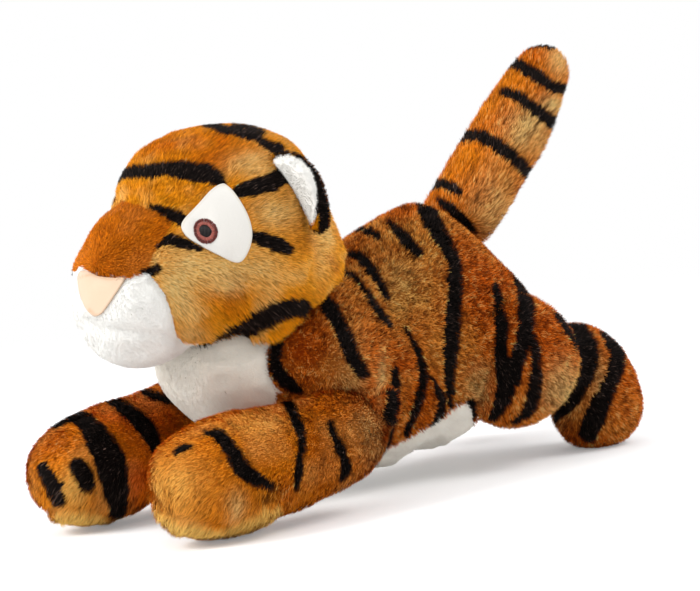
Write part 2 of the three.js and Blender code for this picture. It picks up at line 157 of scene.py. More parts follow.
# A smooth curve through rows of numbers
def curveThrough(rows, steps, closed=False):
    knots = np.asarray(rows, float)
    before, after = (knots[-1:], knots[:2]) if closed else (knots[:1], knots[-1:])
    knots = np.vstack([before, knots, after])
    curve = []
    for a, b, c, d in zip(knots[:-3], knots[1:-2], knots[2:-1], knots[3:]):
        for step in range(steps):
            t = step / steps
            curve.append(0.5 * (2 * b + (c - a) * t + (2 * a - 5 * b + 4 * c - d) * t * t
                                + (3 * b - 3 * c + d - a) * t ** 3))
    return np.array(curve if closed else curve + [knots[-1]])


# Distance in pixels from points to a line, less the half width there: below zero is inside
def insideLine(pixels, line):
    line = np.asarray(line, float)
    best = np.full(len(pixels), 1e9)
    for start, end in zip(line[:-1], line[1:]):
        along = end[:2] - start[:2]
        part = np.clip(((pixels - start[:2]) @ along) / max(along @ along, 1e-9), 0, 1)
        near = start[:2] + part[:, None] * along
        half = start[2] + part * (end[2] - start[2])
        best = np.minimum(best, np.linalg.norm(pixels - near, axis=1) - half)
    return best


def insideOutline(pixels, outline):
    outline = np.asarray(outline, float)
    inside = np.zeros(len(pixels), bool)
    u, v = pixels[:, 0], pixels[:, 1]
    for (u1, v1), (u2, v2) in zip(outline, np.roll(outline, -1, axis=0)):
        crosses = (v1 > v) != (v2 > v)
        with np.errstate(divide="ignore", invalid="ignore"):
            at = (u2 - u1) * (v - v1) / (v2 - v1) + u1
        inside ^= crosses & (u < at)
    return inside


def hairline(line):
    return [(u, v, 0) for u, v in line]


# Dark stripes as lines on the photograph: across, down, half width
headStripes = {
    "forehead": [(113, 195, 1), (121, 180, 3.5), (134, 174, 5), (149, 173, 5.5), (165, 170, 6),
                 (180, 171, 7.5), (195, 173, 8.5), (208, 175, 8), (219, 180, 4.5), (225, 183, 1)],
    "crown": [(189, 124, 0), (208, 127, 2), (223, 131, 3), (238, 134, 3.5), (254, 138, 4), (267, 146, 4),
              (278, 150, 5)],
    "crownRear": [(232, 127, 0.5), (250, 129, 1.5), (263, 134, 1)],
    "brow": [(233, 194, 1), (241, 191, 5), (254, 188, 7), (267, 184, 8), (282, 177, 8)],
    "cheek": [(250, 232, 2.5), (256, 237, 5), (267, 241, 5.5), (280, 246, 6), (287, 250, 4)],
    "bridgeSide": [(151, 208, 1), (164, 212, 4), (175, 217, 6), (183, 222, 5)],
    "underEye": [(159, 247, 1), (171, 241, 5), (182, 243, 4.5), (193, 247, 3.5), (203, 249, 1)],
    "muzzleSpot": [(144, 272, 1.5), (151, 272, 4.5), (158, 269, 3)],
    "jaw": [(206, 341, 1), (221, 336, 5), (236, 329, 8), (254, 320, 9), (272, 311, 9), (287, 306, 8),
            (300, 306, 7)],
}
trunkStripes = {
    "nape": [(336, 236, 2.5), (351, 232, 3.5), (366, 233, 4), (378, 239, 3)],
    "backShort": [(389, 225, 2), (400, 236, 4.5), (408, 245, 5.5), (417, 254, 4)],
    "backLong": [(425, 205, 8), (432, 225, 8), (444, 245, 7), (452, 263, 6), (454, 282, 6.5), (452, 312, 7),
                 (450, 343, 7), (448, 374, 5), (449, 404, 2)],
    "tailRoot": [(442, 206, 3), (456, 218, 4), (469, 230, 3)],
    "shoulderUpper": [(347, 256, 2), (360, 260, 4), (371, 272, 4.5), (379, 285, 4), (386, 299, 2)],
    "shoulderThin": [(341, 273, 2), (353, 279, 2.5), (365, 293, 2.5), (373, 307, 3), (384, 322, 2.5),
                     (388, 327, 1)],
    "shoulder": [(322, 300, 5), (330, 312, 8), (339, 328, 7), (348, 348, 6.5), (357, 366, 6), (362, 374, 4)],
    "chestEdge": [(283, 333, 3), (275, 354, 6), (277, 370, 7), (287, 381, 7), (301, 390, 3)],
    "flankFront": [(393, 369, 2), (393, 386, 4.5), (390, 407, 5.5), (386, 428, 5.5), (380, 444, 6),
                   (372, 451, 3)],
    "flankThin": [(403, 327, 1), (414, 346, 2.5), (420, 363, 4), (422, 377, 4.5), (419, 396, 4),
                  (413, 414, 3), (405, 431, 3)],
    "flankRear": [(429, 376, 0.5), (437, 391, 2.5), (440, 403, 4), (437, 415, 4), (431, 426, 2)],
    "thighFront": [(469, 402, 3), (471, 414, 4)],
    "thighFirst": [(493, 287, 2.5), (497, 306, 4.5), (501, 327, 6), (500, 348, 5.5), (503, 365, 8),
                   (507, 382, 9), (501, 403, 6.5), (493, 415, 3)],
    "thighSecond": [(512, 278, 2), (520, 292, 5.5), (525, 310, 7), (525, 327, 7), (520, 348, 6.5),
                    (515, 365, 7), (511, 380, 8)],
    "thighThird": [(531, 336, 2), (534, 355, 4), (535, 374, 5), (532, 393, 5.5), (527, 410, 4.5),
                   (514, 419, 2)],
}
footStripes = {
    "ankle": [(555, 317, 2.5), (568, 327, 7), (580, 340, 10), (587, 354, 9.5), (586, 370, 8), (580, 386, 6.5),
              (570, 405, 4.5), (556, 417, 2.5)],
    "outer": [(601, 335, 2.5), (613, 348, 6), (615, 363, 7), (610, 380, 6.5), (602, 399, 7.5), (595, 416, 10),
              (589, 432, 8)],
    "under": [(553, 422, 4), (557, 435, 6), (568, 446, 5), (580, 452, 2)],
}
leftLegStripes = {
    "paw": [(207, 434, 2), (221, 437, 5.5), (233, 454, 7), (243, 470, 7.5), (256, 479, 6), (270, 484, 3)],
    "elbow": [(281, 396, 3), (291, 411, 4.5), (298, 426, 4.5), (301, 442, 4), (299, 462, 3.5),
              (296, 488, 1.5)],
    "upper": [(329, 424, 2), (336, 441, 4), (343, 457, 4.5), (345, 468, 4.5), (341, 478, 2)],
    "inner": [(177, 453, 2), (185, 448, 2.5), (192, 446, 1)],
}
rightLegStripes = {
    "paw": [(56, 427, 2), (72, 420, 4), (86, 424, 8), (97, 438, 12), (108, 456, 14), (114, 476, 14),
            (117, 496, 10), (119, 512, 5)],
    "elbow": [(107, 400, 3), (123, 409, 5.5), (141, 423, 8), (152, 438, 7.5), (157, 451, 5), (160, 465, 3)],
    "upper": [(145, 394, 2), (157, 398, 4), (171, 403, 2)],
    "toe": [(77, 465, 6), (82, 473, 8.5), (88, 483, 6)],
    "toeSide": [(43, 467, 5), (49, 476, 6.5), (56, 487, 8), (62, 498, 5)],
}
tailStripes = {
    "tip": [(517, 52, 3), (526, 48, 3), (539, 46, 3.5), (552, 49, 2)],
    "second": [(506, 70, 2), (516, 66, 4), (528, 73, 5.5), (539, 81, 6), (551, 88, 5), (566, 90, 4.5)],
    "third": [(504, 94, 2.5), (516, 98, 4.5), (528, 107, 5), (542, 117, 5.5), (553, 126, 5.5), (556, 134, 3)],
    "fourth": [(455, 146, 2), (464, 139, 4), (481, 139, 5), (495, 146, 5.5), (510, 158, 5.5), (520, 168, 5.5),
               (527, 179, 4)],
    "root": [(432, 190, 3), (441, 186, 4), (451, 189, 4.5), (459, 194, 3)],
    "rootSide": [(441, 203, 2), (453, 211, 4), (462, 220, 4.5), (470, 228, 3.5)],
}

# Boundaries of differently coloured cloth, on the photograph, for the side that it shows
clothOutlines = {
    "bridge": [(40, 256), (73, 262), (100, 276), (127, 280), (148, 272), (156, 250), (166, 235), (172, 224),
               (160, 214), (140, 206), (116, 200), (60, 200)],
    "muzzle": [(40, 253), (73, 260), (100, 276), (127, 280), (147, 272), (156, 281), (165, 294), (171, 310),
               (176, 332), (180, 345), (215, 345), (215, 420), (40, 420)],
    "chin": [(174, 336), (188, 342), (226, 342), (244, 338), (250, 345), (250, 420), (120, 420), (120, 350)],
    "earInner": [(275, 156), (287, 153), (300, 158), (310, 167), (315, 178), (318, 190), (317, 203),
                 (316, 215), (315, 228), (316, 235), (311, 233), (306, 227), (298, 222), (280, 200),
                 (270, 170)],
    "chest": [(120, 330), (290, 318), (278, 335), (268, 345), (266, 360), (268, 376), (276, 388), (288, 395),
              (300, 410), (200, 470), (120, 420)],
    "belly": [(352, 475), (364, 464), (385, 449), (410, 436), (437, 421), (455, 407), (466, 402), (471, 410),
              (473, 424), (470, 520), (352, 520)],
    "soleLeft": [(140, 470), (152, 492), (165, 507), (185, 514), (206, 519), (226, 520), (246, 512),
                 (262, 505), (276, 501), (284, 507), (290, 560), (140, 560)],
    "soleRight": [(20, 470), (30, 498), (45, 508), (62, 506), (84, 504), (104, 509), (118, 518), (135, 515),
                  (152, 500), (170, 560), (20, 560)],
}

# Colours of the pile at its roots and tips, and how much single strands differ. The darker roots are partly
# the pile's own colour and partly painted shade deep in the pile
pileKinds = {
    "gold": ((0.67, 0.212, 0.003), (0.86, 0.332, 0.007), 0.34),
    "amber": ((0.34, 0.064, 0.001), (0.57, 0.135, 0.001), 0.24),
    "straw": ((0.90, 0.52, 0.11), (0.98, 0.76, 0.33), 0.36),
    "honey": ((0.96, 0.47, 0.08), (0.98, 0.63, 0.16), 0.36),
    "body": ((0.22, 0.032, 0.001), (0.90, 0.190, 0.006), 0.82),
    "russet": ((0.17, 0.018, 0.001), (0.60, 0.098, 0.002), 0.64),
    # ruddy: deeper, redder pile painted on the far front leg as its shade
    "ruddy": ((0.32, 0.026, 0.001), (0.94, 0.120, 0.003), 0.40),
    "tan": ((0.28, 0.055, 0.002), (0.98, 0.46, 0.08), 0.90),
    # frost: pale-tipped pile, laid mostly as painted highlights where light catches the shoulder, thigh, hind
    # foot and tail
    "frost": ((0.36, 0.100, 0.006), (0.98, 0.70, 0.26), 0.95),
    "leg": ((0.48, 0.105, 0.001), (0.87, 0.262, 0.004), 0.40),
    "white": ((0.92, 0.905, 0.865), (0.96, 0.95, 0.915), 0.02),
    "chest": ((0.94, 0.88, 0.78), (0.96, 0.92, 0.84), 0.02),
    "dark": ((0.003, 0.002, 0.0015), (0.008, 0.005, 0.004), 0.55),
}
paleTip = (0.98, 0.68, 0.22)

# Where the pile lies lighter or deeper, on the photograph: across, down, reach across, reach down, kind,
# share. Some spots are the pile's own tone. Many are painted light and shade: painted highlights where light
# catches the bulges below the eyes, the shoulder, thigh and tail, and painted shade on the lower cheeks, under
# the jaw and rump, and on the far front leg
pileTonesAndPaintedLight = {
    "head": [(185, 146, 84, 24, "amber", 0.9), (214, 164, 22, 14, "amber", 0.6),
             (170, 192, 60, 9, "amber", 0.3), (205, 266, 60, 18, "straw", 0.9),
             (182, 300, 18, 28, "straw", 0.5), (255, 166, 22, 12, "straw", 0.6),
             (322, 236, 12, 40, "straw", 0.4), (238, 300, 50, 16, "amber", 0.3),
             (190, 333, 16, 9, "straw", 0.4), (275, 210, 26, 22, "straw", 0.5),
             (172, 285, 12, 16, "straw", 0.5), (225, 285, 20, 8, "straw", 0.5)],
    "trunk": [(405, 292, 38, 46, "tan", 0.8), (400, 285, 20, 22, "frost", 0.25),
              (345, 325, 20, 46, "tan", 0.45), (482, 278, 36, 40, "russet", 0.75),
              (397, 362, 20, 30, "russet", 0.7), (308, 352, 24, 22, "russet", 0.7),
              (478, 385, 14, 20, "frost", 0.6), (398, 214, 32, 12, "russet", 0.6),
              (372, 250, 18, 10, "tan", 0.4), (540, 330, 14, 40, "russet", 0.5),
              (350, 388, 14, 40, "frost", 0.5), (379, 380, 4, 24, "frost", 0.6)],
    "hind": [(560, 388, 18, 24, "frost", 0.95), (598, 350, 12, 20, "russet", 0.5),
             (626, 410, 16, 34, "russet", 0.6), (568, 318, 24, 12, "russet", 0.5),
             (540, 345, 12, 28, "russet", 0.5), (575, 440, 40, 12, "russet", 0.7),
             (598, 385, 8, 24, "frost", 0.6)],
    "leftLeg": [(172, 486, 34, 30, "honey", 0.5), (250, 424, 34, 12, "honey", 0.5),
                (322, 458, 20, 30, "russet", 0.4), (372, 430, 20, 34, "frost", 0.5),
                (285, 492, 10, 14, "body", 0.7), (264, 497, 9, 6, "dark", 0.8),
                (274, 488, 9, 7, "dark", 0.55), (236, 505, 10, 14, "straw", 0.5)],
    "rightLeg": [(60, 442, 24, 16, "body", 0.75), (76, 486, 14, 20, "honey", 0.8),
                 (34, 452, 14, 20, "body", 0.6), (140, 482, 26, 28, "ruddy", 0.8),
                 (150, 420, 34, 24, "ruddy", 0.8), (104, 420, 20, 10, "ruddy", 0.5)],
    "tail": [(526, 134, 20, 24, "frost", 0.8), (494, 210, 22, 36, "frost", 0.65),
             (470, 160, 14, 16, "leg", 0.8), (534, 60, 14, 10, "russet", 0.7),
             (558, 64, 10, 14, "straw", 0.6), (552, 106, 14, 10, "frost", 0.8)],
}

# How the photograph is read on the toy, and how its stripes run out on the sides that it doesn't show
reading = {
    "turnedAway": -0.1,
    "farFace": {"across": -0.012, "front": -0.08, "low": 0.075, "high": 0.142},
    "lineSteps": 4,
    "ragged": [(2.5, 11, 1.3)],
    "stripeEdge": (0.5, 2.2),
    "thinning": 5,
    "bodyFade": (-0.05, 0.22),
    "headFade": (-0.12, 0.1),
}
bands = {
    "headPitch": 26 * millimetre,
    "trunkPitch": 24 * millimetre,
    "hindPitch": 22 * millimetre,
    "climb": 0.35,
    "leastSlope": 0.15,
    "drift": [(18, 41, 0.22)],
    "breaks": [(12, 42, 0.6)],
    "spineBreak": 3,
    "spineWidth": 6 * millimetre,
    "half": 3.0,
    "edge": 0.8 * millimetre,
}


def mirroredSide(points):
    return points * np.array([-1.0, 1.0, 1.0])


def readDirectly(points, normals):
    seen = -(normals @ camAhead)
    box = reading["farFace"]
    across, along, height = points.T
    hidden = (across < box["across"]) & (along < box["front"])
    hidden &= (height > box["low"]) & (height < box["high"])
    return ((seen > reading["turnedAway"]) | (seen >= -(mirroredSide(normals) @ camAhead))) & ~hidden


# Points read as seen go with what is drawn for their own side, the rest are read mirrored
def readings(points, normals, own, other):
    direct = readDirectly(points, normals)
    return (direct, toPixels(points), own), (~direct, toPixels(mirroredSide(points)), other)


def lineGap(points, normals, own, other, drawn):
    gap = np.full(len(points), 1e9)
    for chosen, pixels, lines in readings(points, normals, own, other):
        for line in lines.values() if chosen.any() else ():
            gap[chosen] = np.minimum(gap[chosen], insideLine(pixels[chosen], drawn(line)))
    return gap


def stripeCurve(line):
    return curveThrough(line, reading["lineSteps"])


def stripeShare(points, normals, own, other, pitch=None, fade=None):
    depth = lineGap(points, normals, own, other, stripeCurve) + patches(points, reading["ragged"])
    if pitch is None:
        return 1 - eased(depth, *reading["stripeEdge"])
    direct = readDirectly(points, normals)
    shown = eased(-(np.where(direct[:, None], normals, mirroredSide(normals)) @ camAhead), *fade)
    drawn = 1 - eased(depth + reading["thinning"] * (1 - shown), *reading["stripeEdge"])
    guessed = bandShare(points, normals, pitch) * (1 - eased(shown, 0, 0.2))
    return np.maximum(drawn * eased(shown, 0, 0.3), guessed)


# On the sides turned away the stripes are bands across the body, even in width and broken along the middle
def bandShare(points, normals, pitch):
    across = points[:, 0]
    height = points[:, 2] + bands["climb"] * np.abs(across) + patches(points, bands["drift"]) * pitch
    rise = np.stack([bands["climb"] * np.sign(across), 0 * across, 1 + 0 * across], axis=1)
    rise -= normals * (rise * normals).sum(axis=1)[:, None]
    slope = np.maximum(np.linalg.norm(rise, axis=1), bands["leastSlope"])
    offset = np.abs(height % pitch - pitch / 2) / slope
    broken = bands["spineBreak"] * np.exp(-(across / bands["spineWidth"]) ** 2)
    broken = broken + patches(points, bands["breaks"])
    return 1 - eased(offset - (bands["half"] - broken) * millimetre, 0, bands["edge"])


# For cloth that is cut the same on both sides
def nearSidePixels(points):
    near = points.copy()
    near[:, 0] = np.abs(near[:, 0])
    return toPixels(near)


# Skins: the solids of a body closed into one surface
def newMesh(name, bm):
    mesh = bpy.data.meshes.new(name)
    bm.to_mesh(mesh)
    bm.free()
    return mesh


def gathered(name, nodeNames, balls=()):
    bm = bmesh.new()
    for nodeName in nodeNames:
        bm.from_mesh(frame["nodes"][nodeName].data)
    for place, radius in balls:
        bmesh.ops.create_icosphere(bm, subdivisions=4, radius=radius, matrix=Matrix.Translation(place))
    return placed(name, newMesh(name, bm))


def evaluated(piece):
    graph = bpy.context.evaluated_depsgraph_get()
    mesh = bpy.data.meshes.new_from_object(piece.evaluated_get(graph))
    piece.modifiers.clear()
    old = piece.data
    piece.data = mesh
    bpy.data.meshes.remove(old)
    return piece


def remeshed(piece, voxel):
    weld = piece.modifiers.new("weld", "REMESH")
    weld.mode = "VOXEL"
    weld.voxel_size = voxel
    return evaluated(piece)


def vertexValues(mesh, key):
    values = np.zeros(len(mesh.vertices) * 3)
    mesh.vertices.foreach_get(key, values)
    return values.reshape(-1, 3)


def places(mesh):
    return vertexValues(mesh, "co")


def vertexNormals(mesh):
    return vertexValues(mesh, "normal")


def setPlaces(mesh, values):
    mesh.vertices.foreach_set("co", np.asarray(values, float).ravel())
    mesh.update()


def shadeSmooth(mesh):
    mesh.polygons.foreach_set("use_smooth", np.ones(len(mesh.polygons), bool))


# Smooths without shrinking: a step towards the neighbours, then a slightly longer one back
def relaxed(piece, rounds):
    mesh = piece.data
    ends = np.zeros(len(mesh.edges) * 2, int)
    mesh.edges.foreach_get("vertices", ends)
    ends = ends.reshape(-1, 2)
    count = np.zeros(len(mesh.vertices))
    np.add.at(count, ends.ravel(), 1)
    values = places(mesh)
    for _ in range(rounds):
        for step in skins["relaxSteps"]:
            total = np.zeros_like(values)
            np.add.at(total, ends[:, 0], values[ends[:, 1]])
            np.add.at(total, ends[:, 1], values[ends[:, 0]])
            values = values + step * (total / count[:, None] - values)
    setPlaces(mesh, values)
    return piece


def jointPlace(name):
    found = next(joint for joint in frame["joints"] if joint["name"] == name)
    return Vector(found["pos_m"])


skins = {
    "voxel": 4.4 * millimetre,
    "earVoxel": 1.4 * millimetre,
    "relaxRounds": 12,
    "relaxSteps": (0.5, -0.52),
    "inset": {"trunk": 2.3, "head": 1.7, "tail": 2.2, "leg": 2.4, "hind": 2.8, "ear": 0.9},
    "cloth": {"quality": 5, "mass": 0.3, "shrink_min": -0.05, "use_pressure": True,
              "uniform_pressure_force": 4.0},
    "frames": 20,
    "mostSwell": 2.4 * millimetre,
    "quickSwell": 0.6,
    "heldWithin": (2, 9),
    "leastHeld": 0.02,
    "seamDepth": 1.5 * millimetre,
    "seamHalfWidth": 4.5,
    "plugs": {"neck": 25.5 * millimetre, "shoulder": 13.5 * millimetre, "hip": 14.5 * millimetre,
              "tail": 12.5 * millimetre},
}
# Small listed shaping before the stuffing: middle, move and reach in millimetres, alike on both sides
touches = {
    "head": [((42, -86, 88), (1, 0, -5.5), 20), ((0, -138, 84), (0, 0, -0.8), 26),
             ((40, -125, 118), (1, -1, 0), 16), ((32, -97, 85), (0, 0, -5), 14),
             ((42, -38, 146), (-2.5, -3, -1), 22), ((40, -62, 168), (1, 1, 1), 16),
             ((0, -22, 142), (0, -3, 0), 16), ((0, -34, 126), (0, 3, -2), 18),
             ((28, -36, 124), (0, 3, -2), 18), ((0, -84, 190), (0, 0, -0.9), 30)],
    "trunk": [((30, 36, 30), (0, 0, -7.5), 24), ((12, 22, 132), (0, 0, -3), 18),
              ((0, 35, 130), (0, 0, 1.8), 36), ((24, -104, 72), (1.5, -2.5, 0), 20),
              ((50, -50, 74), (10, -2, -3), 22), ((46, 34, 42), (4, 2, -4), 16),
              ((12, 4, 128), (0, 0, -4), 20), ((12, -18, 124), (0, 0, -6), 18),
              ((28, 88, 102), (0, -1, -1.5), 24)],
    "tail": [((0, 150, 202), (0, -2.6, -1), 14), ((0, 132, 160), (0, 2, -1), 16)],
    "leg": [((55, -112, 56), (0, 0, 1.6), 30)],
    "frontLeg_right": [((55, -78, 64), (0, 0, 6), 20), ((55, -102, 60), (0, 0, 1.8), 20)],
    "hind": [((52, 84, 86), (0, 0, -6), 24), ((52, 134, 26), (0, 2.5, 0), 14),
             ((50, 124, 66), (0, -2, -3), 16)],
    "ear": [((62, -72, 172), (0, 0, -6), 16), ((70, -72, 138), (0, 0, -14), 18)],
}
headPanels = ["bridge_panel", "forehead_panel", "cheek_panel_left", "cheek_panel_right", "back_of_head_panel",
              "muzzle_pad_left", "muzzle_pad_right", "chin_gusset"]
trunkPanels = ["chest_panel", "belly_panel", "back_panel_left", "back_panel_right"]

# Seams as lines on the photograph, where the cloth is pulled in
seams = {
    "head": {
        "forehead": [(225, 182), (224, 160), (245, 154), (275, 154)],
        "brow": [(116, 200), (140, 206), (160, 214), (172, 224), (166, 235), (156, 250), (148, 272)],
        "muzzleTop": [(72, 262), (100, 276), (127, 280), (147, 272)],
        "muzzleSide": [(147, 272), (156, 281), (165, 294), (171, 310), (176, 332), (180, 345)],
        "jaw": [(180, 345), (210, 341), (240, 336), (270, 325), (290, 318)],
        "mouth": [(84, 320), (108, 329), (135, 333), (158, 334), (178, 341)],
        "cheekRear": [(313, 234), (316, 252), (308, 275), (300, 298)],
    },
    "trunk": {
        "shoulder": [(340, 272), (385, 312), (405, 337), (420, 363), (418, 384), (403, 431)],
        "belly": [(364, 464), (385, 449), (410, 436), (437, 421), (455, 407), (466, 402)],
        "chest": [(290, 318), (278, 335), (268, 345), (266, 360), (268, 376), (276, 388), (288, 395)],
    },
    "front_left": {
        "sole": [(146, 488), (165, 507), (185, 514), (206, 519), (226, 520), (246, 512), (266, 500),
                 (286, 497)],
    },
    "front_right": {
        "sole": [(24, 484), (30, 498), (45, 508), (62, 506), (84, 504), (104, 509), (118, 518), (135, 515),
                 (152, 500)],
    },
}


def shaped(mesh, rows):
    spots = places(mesh) / millimetre
    beside = spots.copy()
    beside[:, 0] = np.abs(beside[:, 0])
    sign = np.where(spots[:, :1] < 0, -1, 1)
    for middle, move, reach in rows:
        share = np.exp(-np.sum((beside - middle) ** 2, axis=1) / reach ** 2)[:, None]
        step = share * np.asarray(move, float)
        step[:, :1] *= sign
        spots = spots + step
    setPlaces(mesh, spots * millimetre)


def seamGap(mesh, own, other):
    return lineGap(places(mesh), vertexNormals(mesh), own, other, hairline)


def moveAlongNormals(mesh, amount):
    setPlaces(mesh, places(mesh) + vertexNormals(mesh) * amount)


# The cloth is cut a little larger than the form and swells under pressure, and its seams are held
def stuffed(piece, held):
    rest = places(piece.data)
    group = piece.vertex_groups.new(name="seams")
    for index, share in enumerate(held):
        if share > skins["leastHeld"]:
            group.add([index], float(share), "REPLACE")
    cloth = piece.modifiers.new("stuffing", "CLOTH")
    for key, value in skins["cloth"].items():
        setattr(cloth.settings, key, value)
    cloth.settings.effector_weights.gravity = 0
    cloth.settings.vertex_group_mass = "seams"
    cloth.collision_settings.use_collision = False
    cloth.point_cache.frame_end = skins["frames"]
    for number in range(1, skins["frames"] + 1):
        bpy.context.scene.frame_set(number)
    evaluated(piece)
    bpy.context.scene.frame_set(1)
    moved = places(piece.data) - rest
    size = np.linalg.norm(moved, axis=1, keepdims=True)
    print(f"stage: {piece.name} swelled by {size.mean() / millimetre:.1f} mm")
    setPlaces(piece.data, rest + moved * np.minimum(1, skins["mostSwell"] / np.maximum(size, 1e-9)))
    piece.vertex_groups.clear()


def makeSkin(name, kind, nodeNames, own=None, other=None, balls=()):
    piece = gathered(name, nodeNames, balls)
    remeshed(piece, skins["voxel"])
    relaxed(piece, skins["relaxRounds"])
    own, other = own or {}, other or own or {}
    mesh = piece.data
    shaped(mesh, touches[kind] + touches.get(name, []))
    normals = vertexNormals(mesh)
    setPlaces(mesh, places(mesh) - normals * skins["inset"][kind] * millimetre)
    stuffed(piece, 1 - eased(lineGap(places(mesh), normals, own, other, hairline), *skins["heldWithin"]))
    finer = piece.modifiers.new("finer", "SUBSURF")
    finer.levels = finer.render_levels = 1
    mesh = evaluated(piece).data
    groove = np.exp(-(seamGap(mesh, own, other) / skins["seamHalfWidth"]) ** 2) * skins["seamDepth"]
    moveAlongNormals(mesh, -groove[:, None])
    return piece


def makeEar(side):
    piece = gathered(f"ear_{side}", earNodes(side))
    remeshed(piece, skins["earVoxel"])
    relaxed(piece, skins["relaxRounds"])
    moveAlongNormals(piece.data, -skins["inset"]["ear"] * millimetre)
    shaped(piece.data, touches["ear"])
    return piece


def trunkPlugs():
    plugs = skins["plugs"]
    found = [(jointPlace("head_turn"), plugs["neck"]), (jointPlace("tail_wag"), plugs["tail"])]
    for side in ("left", "right"):
        found.append((jointPlace(f"front_leg_{side}_swing"), plugs["shoulder"]))
        found.append((jointPlace(f"hind_leg_{side}_swing"), plugs["hip"]))
    return found


def earNodes(side):
    return [f"ear_back_{side}", f"ear_front_{side}"]


def frontNodes(side):
    return [f"front_leg_{side}", f"front_sole_{side}"]


def hindNodes(side):
    return [f"thigh_{side}", f"hind_foot_{side}"]


trunkSkin = makeSkin("trunk", "trunk", ["trunk_filling"] + trunkPanels, seams["trunk"], balls=trunkPlugs())
headSkin = makeSkin("head", "head", ["head_filling"] + headPanels, seams["head"])
tailSkin = makeSkin("tailCover", "tail", ["tail"])
frontSkins, hindSkins, earSkins = {}, {}, {}
for side, far in (("left", "right"), ("right", "left")):
    frontSkins[side] = makeSkin(f"frontLeg_{side}", "leg", frontNodes(side), seams["front_" + side],
                                seams["front_" + far])
    hindSkins[side] = makeSkin(f"hindLeg_{side}", "hind", hindNodes(side))
    earSkins[side] = makeEar(side)
print("stage: skins made")


# Materials
def addNode(tree, kind, place, **inputs):
    node = tree.nodes.new(kind)
    node.location = place
    for name, value in inputs.items():
        node.inputs[name.replace("_", " ")].default_value = value
    return node


def joined(tree, *pairs):
    for outlet, inlet in pairs:
        tree.links.new(outlet, inlet)


def newMaterial(name, **inputs):
    material = bpy.data.materials.new(name)
    material.use_nodes = True
    shader = material.node_tree.nodes["Principled BSDF"]
    for key, value in inputs.items():
        shader.inputs[key.replace("_", " ")].default_value = value
    return material, material.node_tree, shader


def clothMaterial(name, roughness, sheen=0.0, shine=0.2, grain=None):
    material, tree, shader = newMaterial(name, Roughness=roughness, Specular_IOR_Level=shine,
                                         Sheen_Weight=sheen, Sheen_Roughness=0.5)
    colour = addNode(tree, "ShaderNodeVertexColor", (-500, 200))
    colour.layer_name = "pile"
    joined(tree, (colour.outputs["Color"], shader.inputs["Base Color"]))
    if grain:
        fineness, depth = grain
        noise = addNode(tree, "ShaderNodeTexNoise", (-700, -200), Scale=fineness, Detail=3.0)
        space = addNode(tree, "ShaderNodeTexCoord", (-900, -200))
        bump = addNode(tree, "ShaderNodeBump", (-300, -200), Strength=0.6, Distance=depth)
        joined(tree, (space.outputs["Object"], noise.inputs["Vector"]),
               (noise.outputs["Fac"], bump.inputs["Height"]),
               (bump.outputs["Normal"], shader.inputs["Normal"]))
    return material


pileMaterial = clothMaterial("pile", 0.7, shine=0.06)
backingMaterial = clothMaterial("backing", 0.95, shine=0.05, grain=(900, 0.4 * millimetre))
feltMaterial = clothMaterial("felt", 0.85, sheen=0.2, grain=(1400, 0.25 * millimetre))
suedeMaterial = clothMaterial("suede", 0.7, sheen=0.3, grain=(2200, 0.1 * millimetre))
threadMaterial = clothMaterial("thread", 0.4)


def paint(mesh, colours):
    layer = mesh.color_attributes.new("pile", "FLOAT_COLOR", "POINT")
    values = np.ones((len(mesh.vertices), 4), np.float32)
    values[:, :3] = colours
    layer.data.foreach_set("color", values.ravel())


# A coat is the root colour, the tip colour and the spread of single strands at each point
def coat(kind, count):
    root, tip, spread = pileKinds[kind]
    return np.tile(root, (count, 1)), np.tile(tip, (count, 1)), np.full(count, spread)


def laid(base, kind, share):
    root, tip, spread = pileKinds[kind]
    share = np.clip(share, 0, 1)
    return mixed(base[0], root, share), mixed(base[1], tip, share), base[2] * (1 - share) + spread * share


# Lays the pile's own tones, painted highlights and painted shade over the coat, spot by spot
def withTonesAndPaintedLight(base, points, normals, own, other=None):
    patchy = 1 + patches(points, [(9, 6, 0.35)])
    for chosen, pixels, spots in readings(points, normals, own, other or own):
        for u, v, across, down, kind, share in spots:
            away = ((pixels[:, 0] - u) / across) ** 2 + ((pixels[:, 1] - v) / down) ** 2
            base = laid(base, kind, np.exp(-away) * share * patchy * chosen)
    return base


# Each body's ground coat: its kind, the noise over it, and what the noise lays on, from a share and a slope
coats = {
    "head": {"ground": "gold", "noise": [(13, 3, 1), (5, 4, 0.6)],
             "laid": [("amber", 0, 0.5), ("straw", 0, -0.35)]},
    "trunk": {"ground": "body", "noise": [(22, 5, 0.5), (8, 6, 0.25)],
              "laid": [("tan", 0.15, 1), ("russet", 0.15, -1)]},
    "tail": {"ground": "leg", "noise": [(12, 8, 0.5)], "laid": [("body", 0.55, 1)]},
    "leg": {"ground": "leg", "noise": [(14, 9, 0.5)], "laid": [("straw", 0, 0.6)]},
    "hind": {"ground": "body", "noise": [(18, 10, 0.6)], "laid": [("tan", 0.1, 1), ("russet", 0.25, -1)]},
}
# Where the white cloth begins and ends on the toy, in metres, beside its outlines on the photograph
whiteCloth = {
    "farSide": 0.015,
    "farSideEnd": 0.04,
    "farSideLift": 0.005,
    "muzzleBack": -0.095,
    "chinTop": 0.1,
    "chestTop": 0.125,
    "nearLegCorner": (372, 392),
    "leastSeen": 0.12,
}
cuffs = {
    "soleTop": 0.02,
    "soleFloor": 0.006,
    "soleFloorFade": 0.003,
    "soleFade": 9,
    "ragged": [(4, 14, 4)],
    "darkFrom": -0.12,
    "darkTo": -0.06,
}


def groundCoat(kind, points):
    facts = coats[kind]
    light = patches(points, facts["noise"])
    base = coat(facts["ground"], len(points))
    for name, share, slope in facts["laid"]:
        base = laid(base, name, share + slope * light)
    return base, light


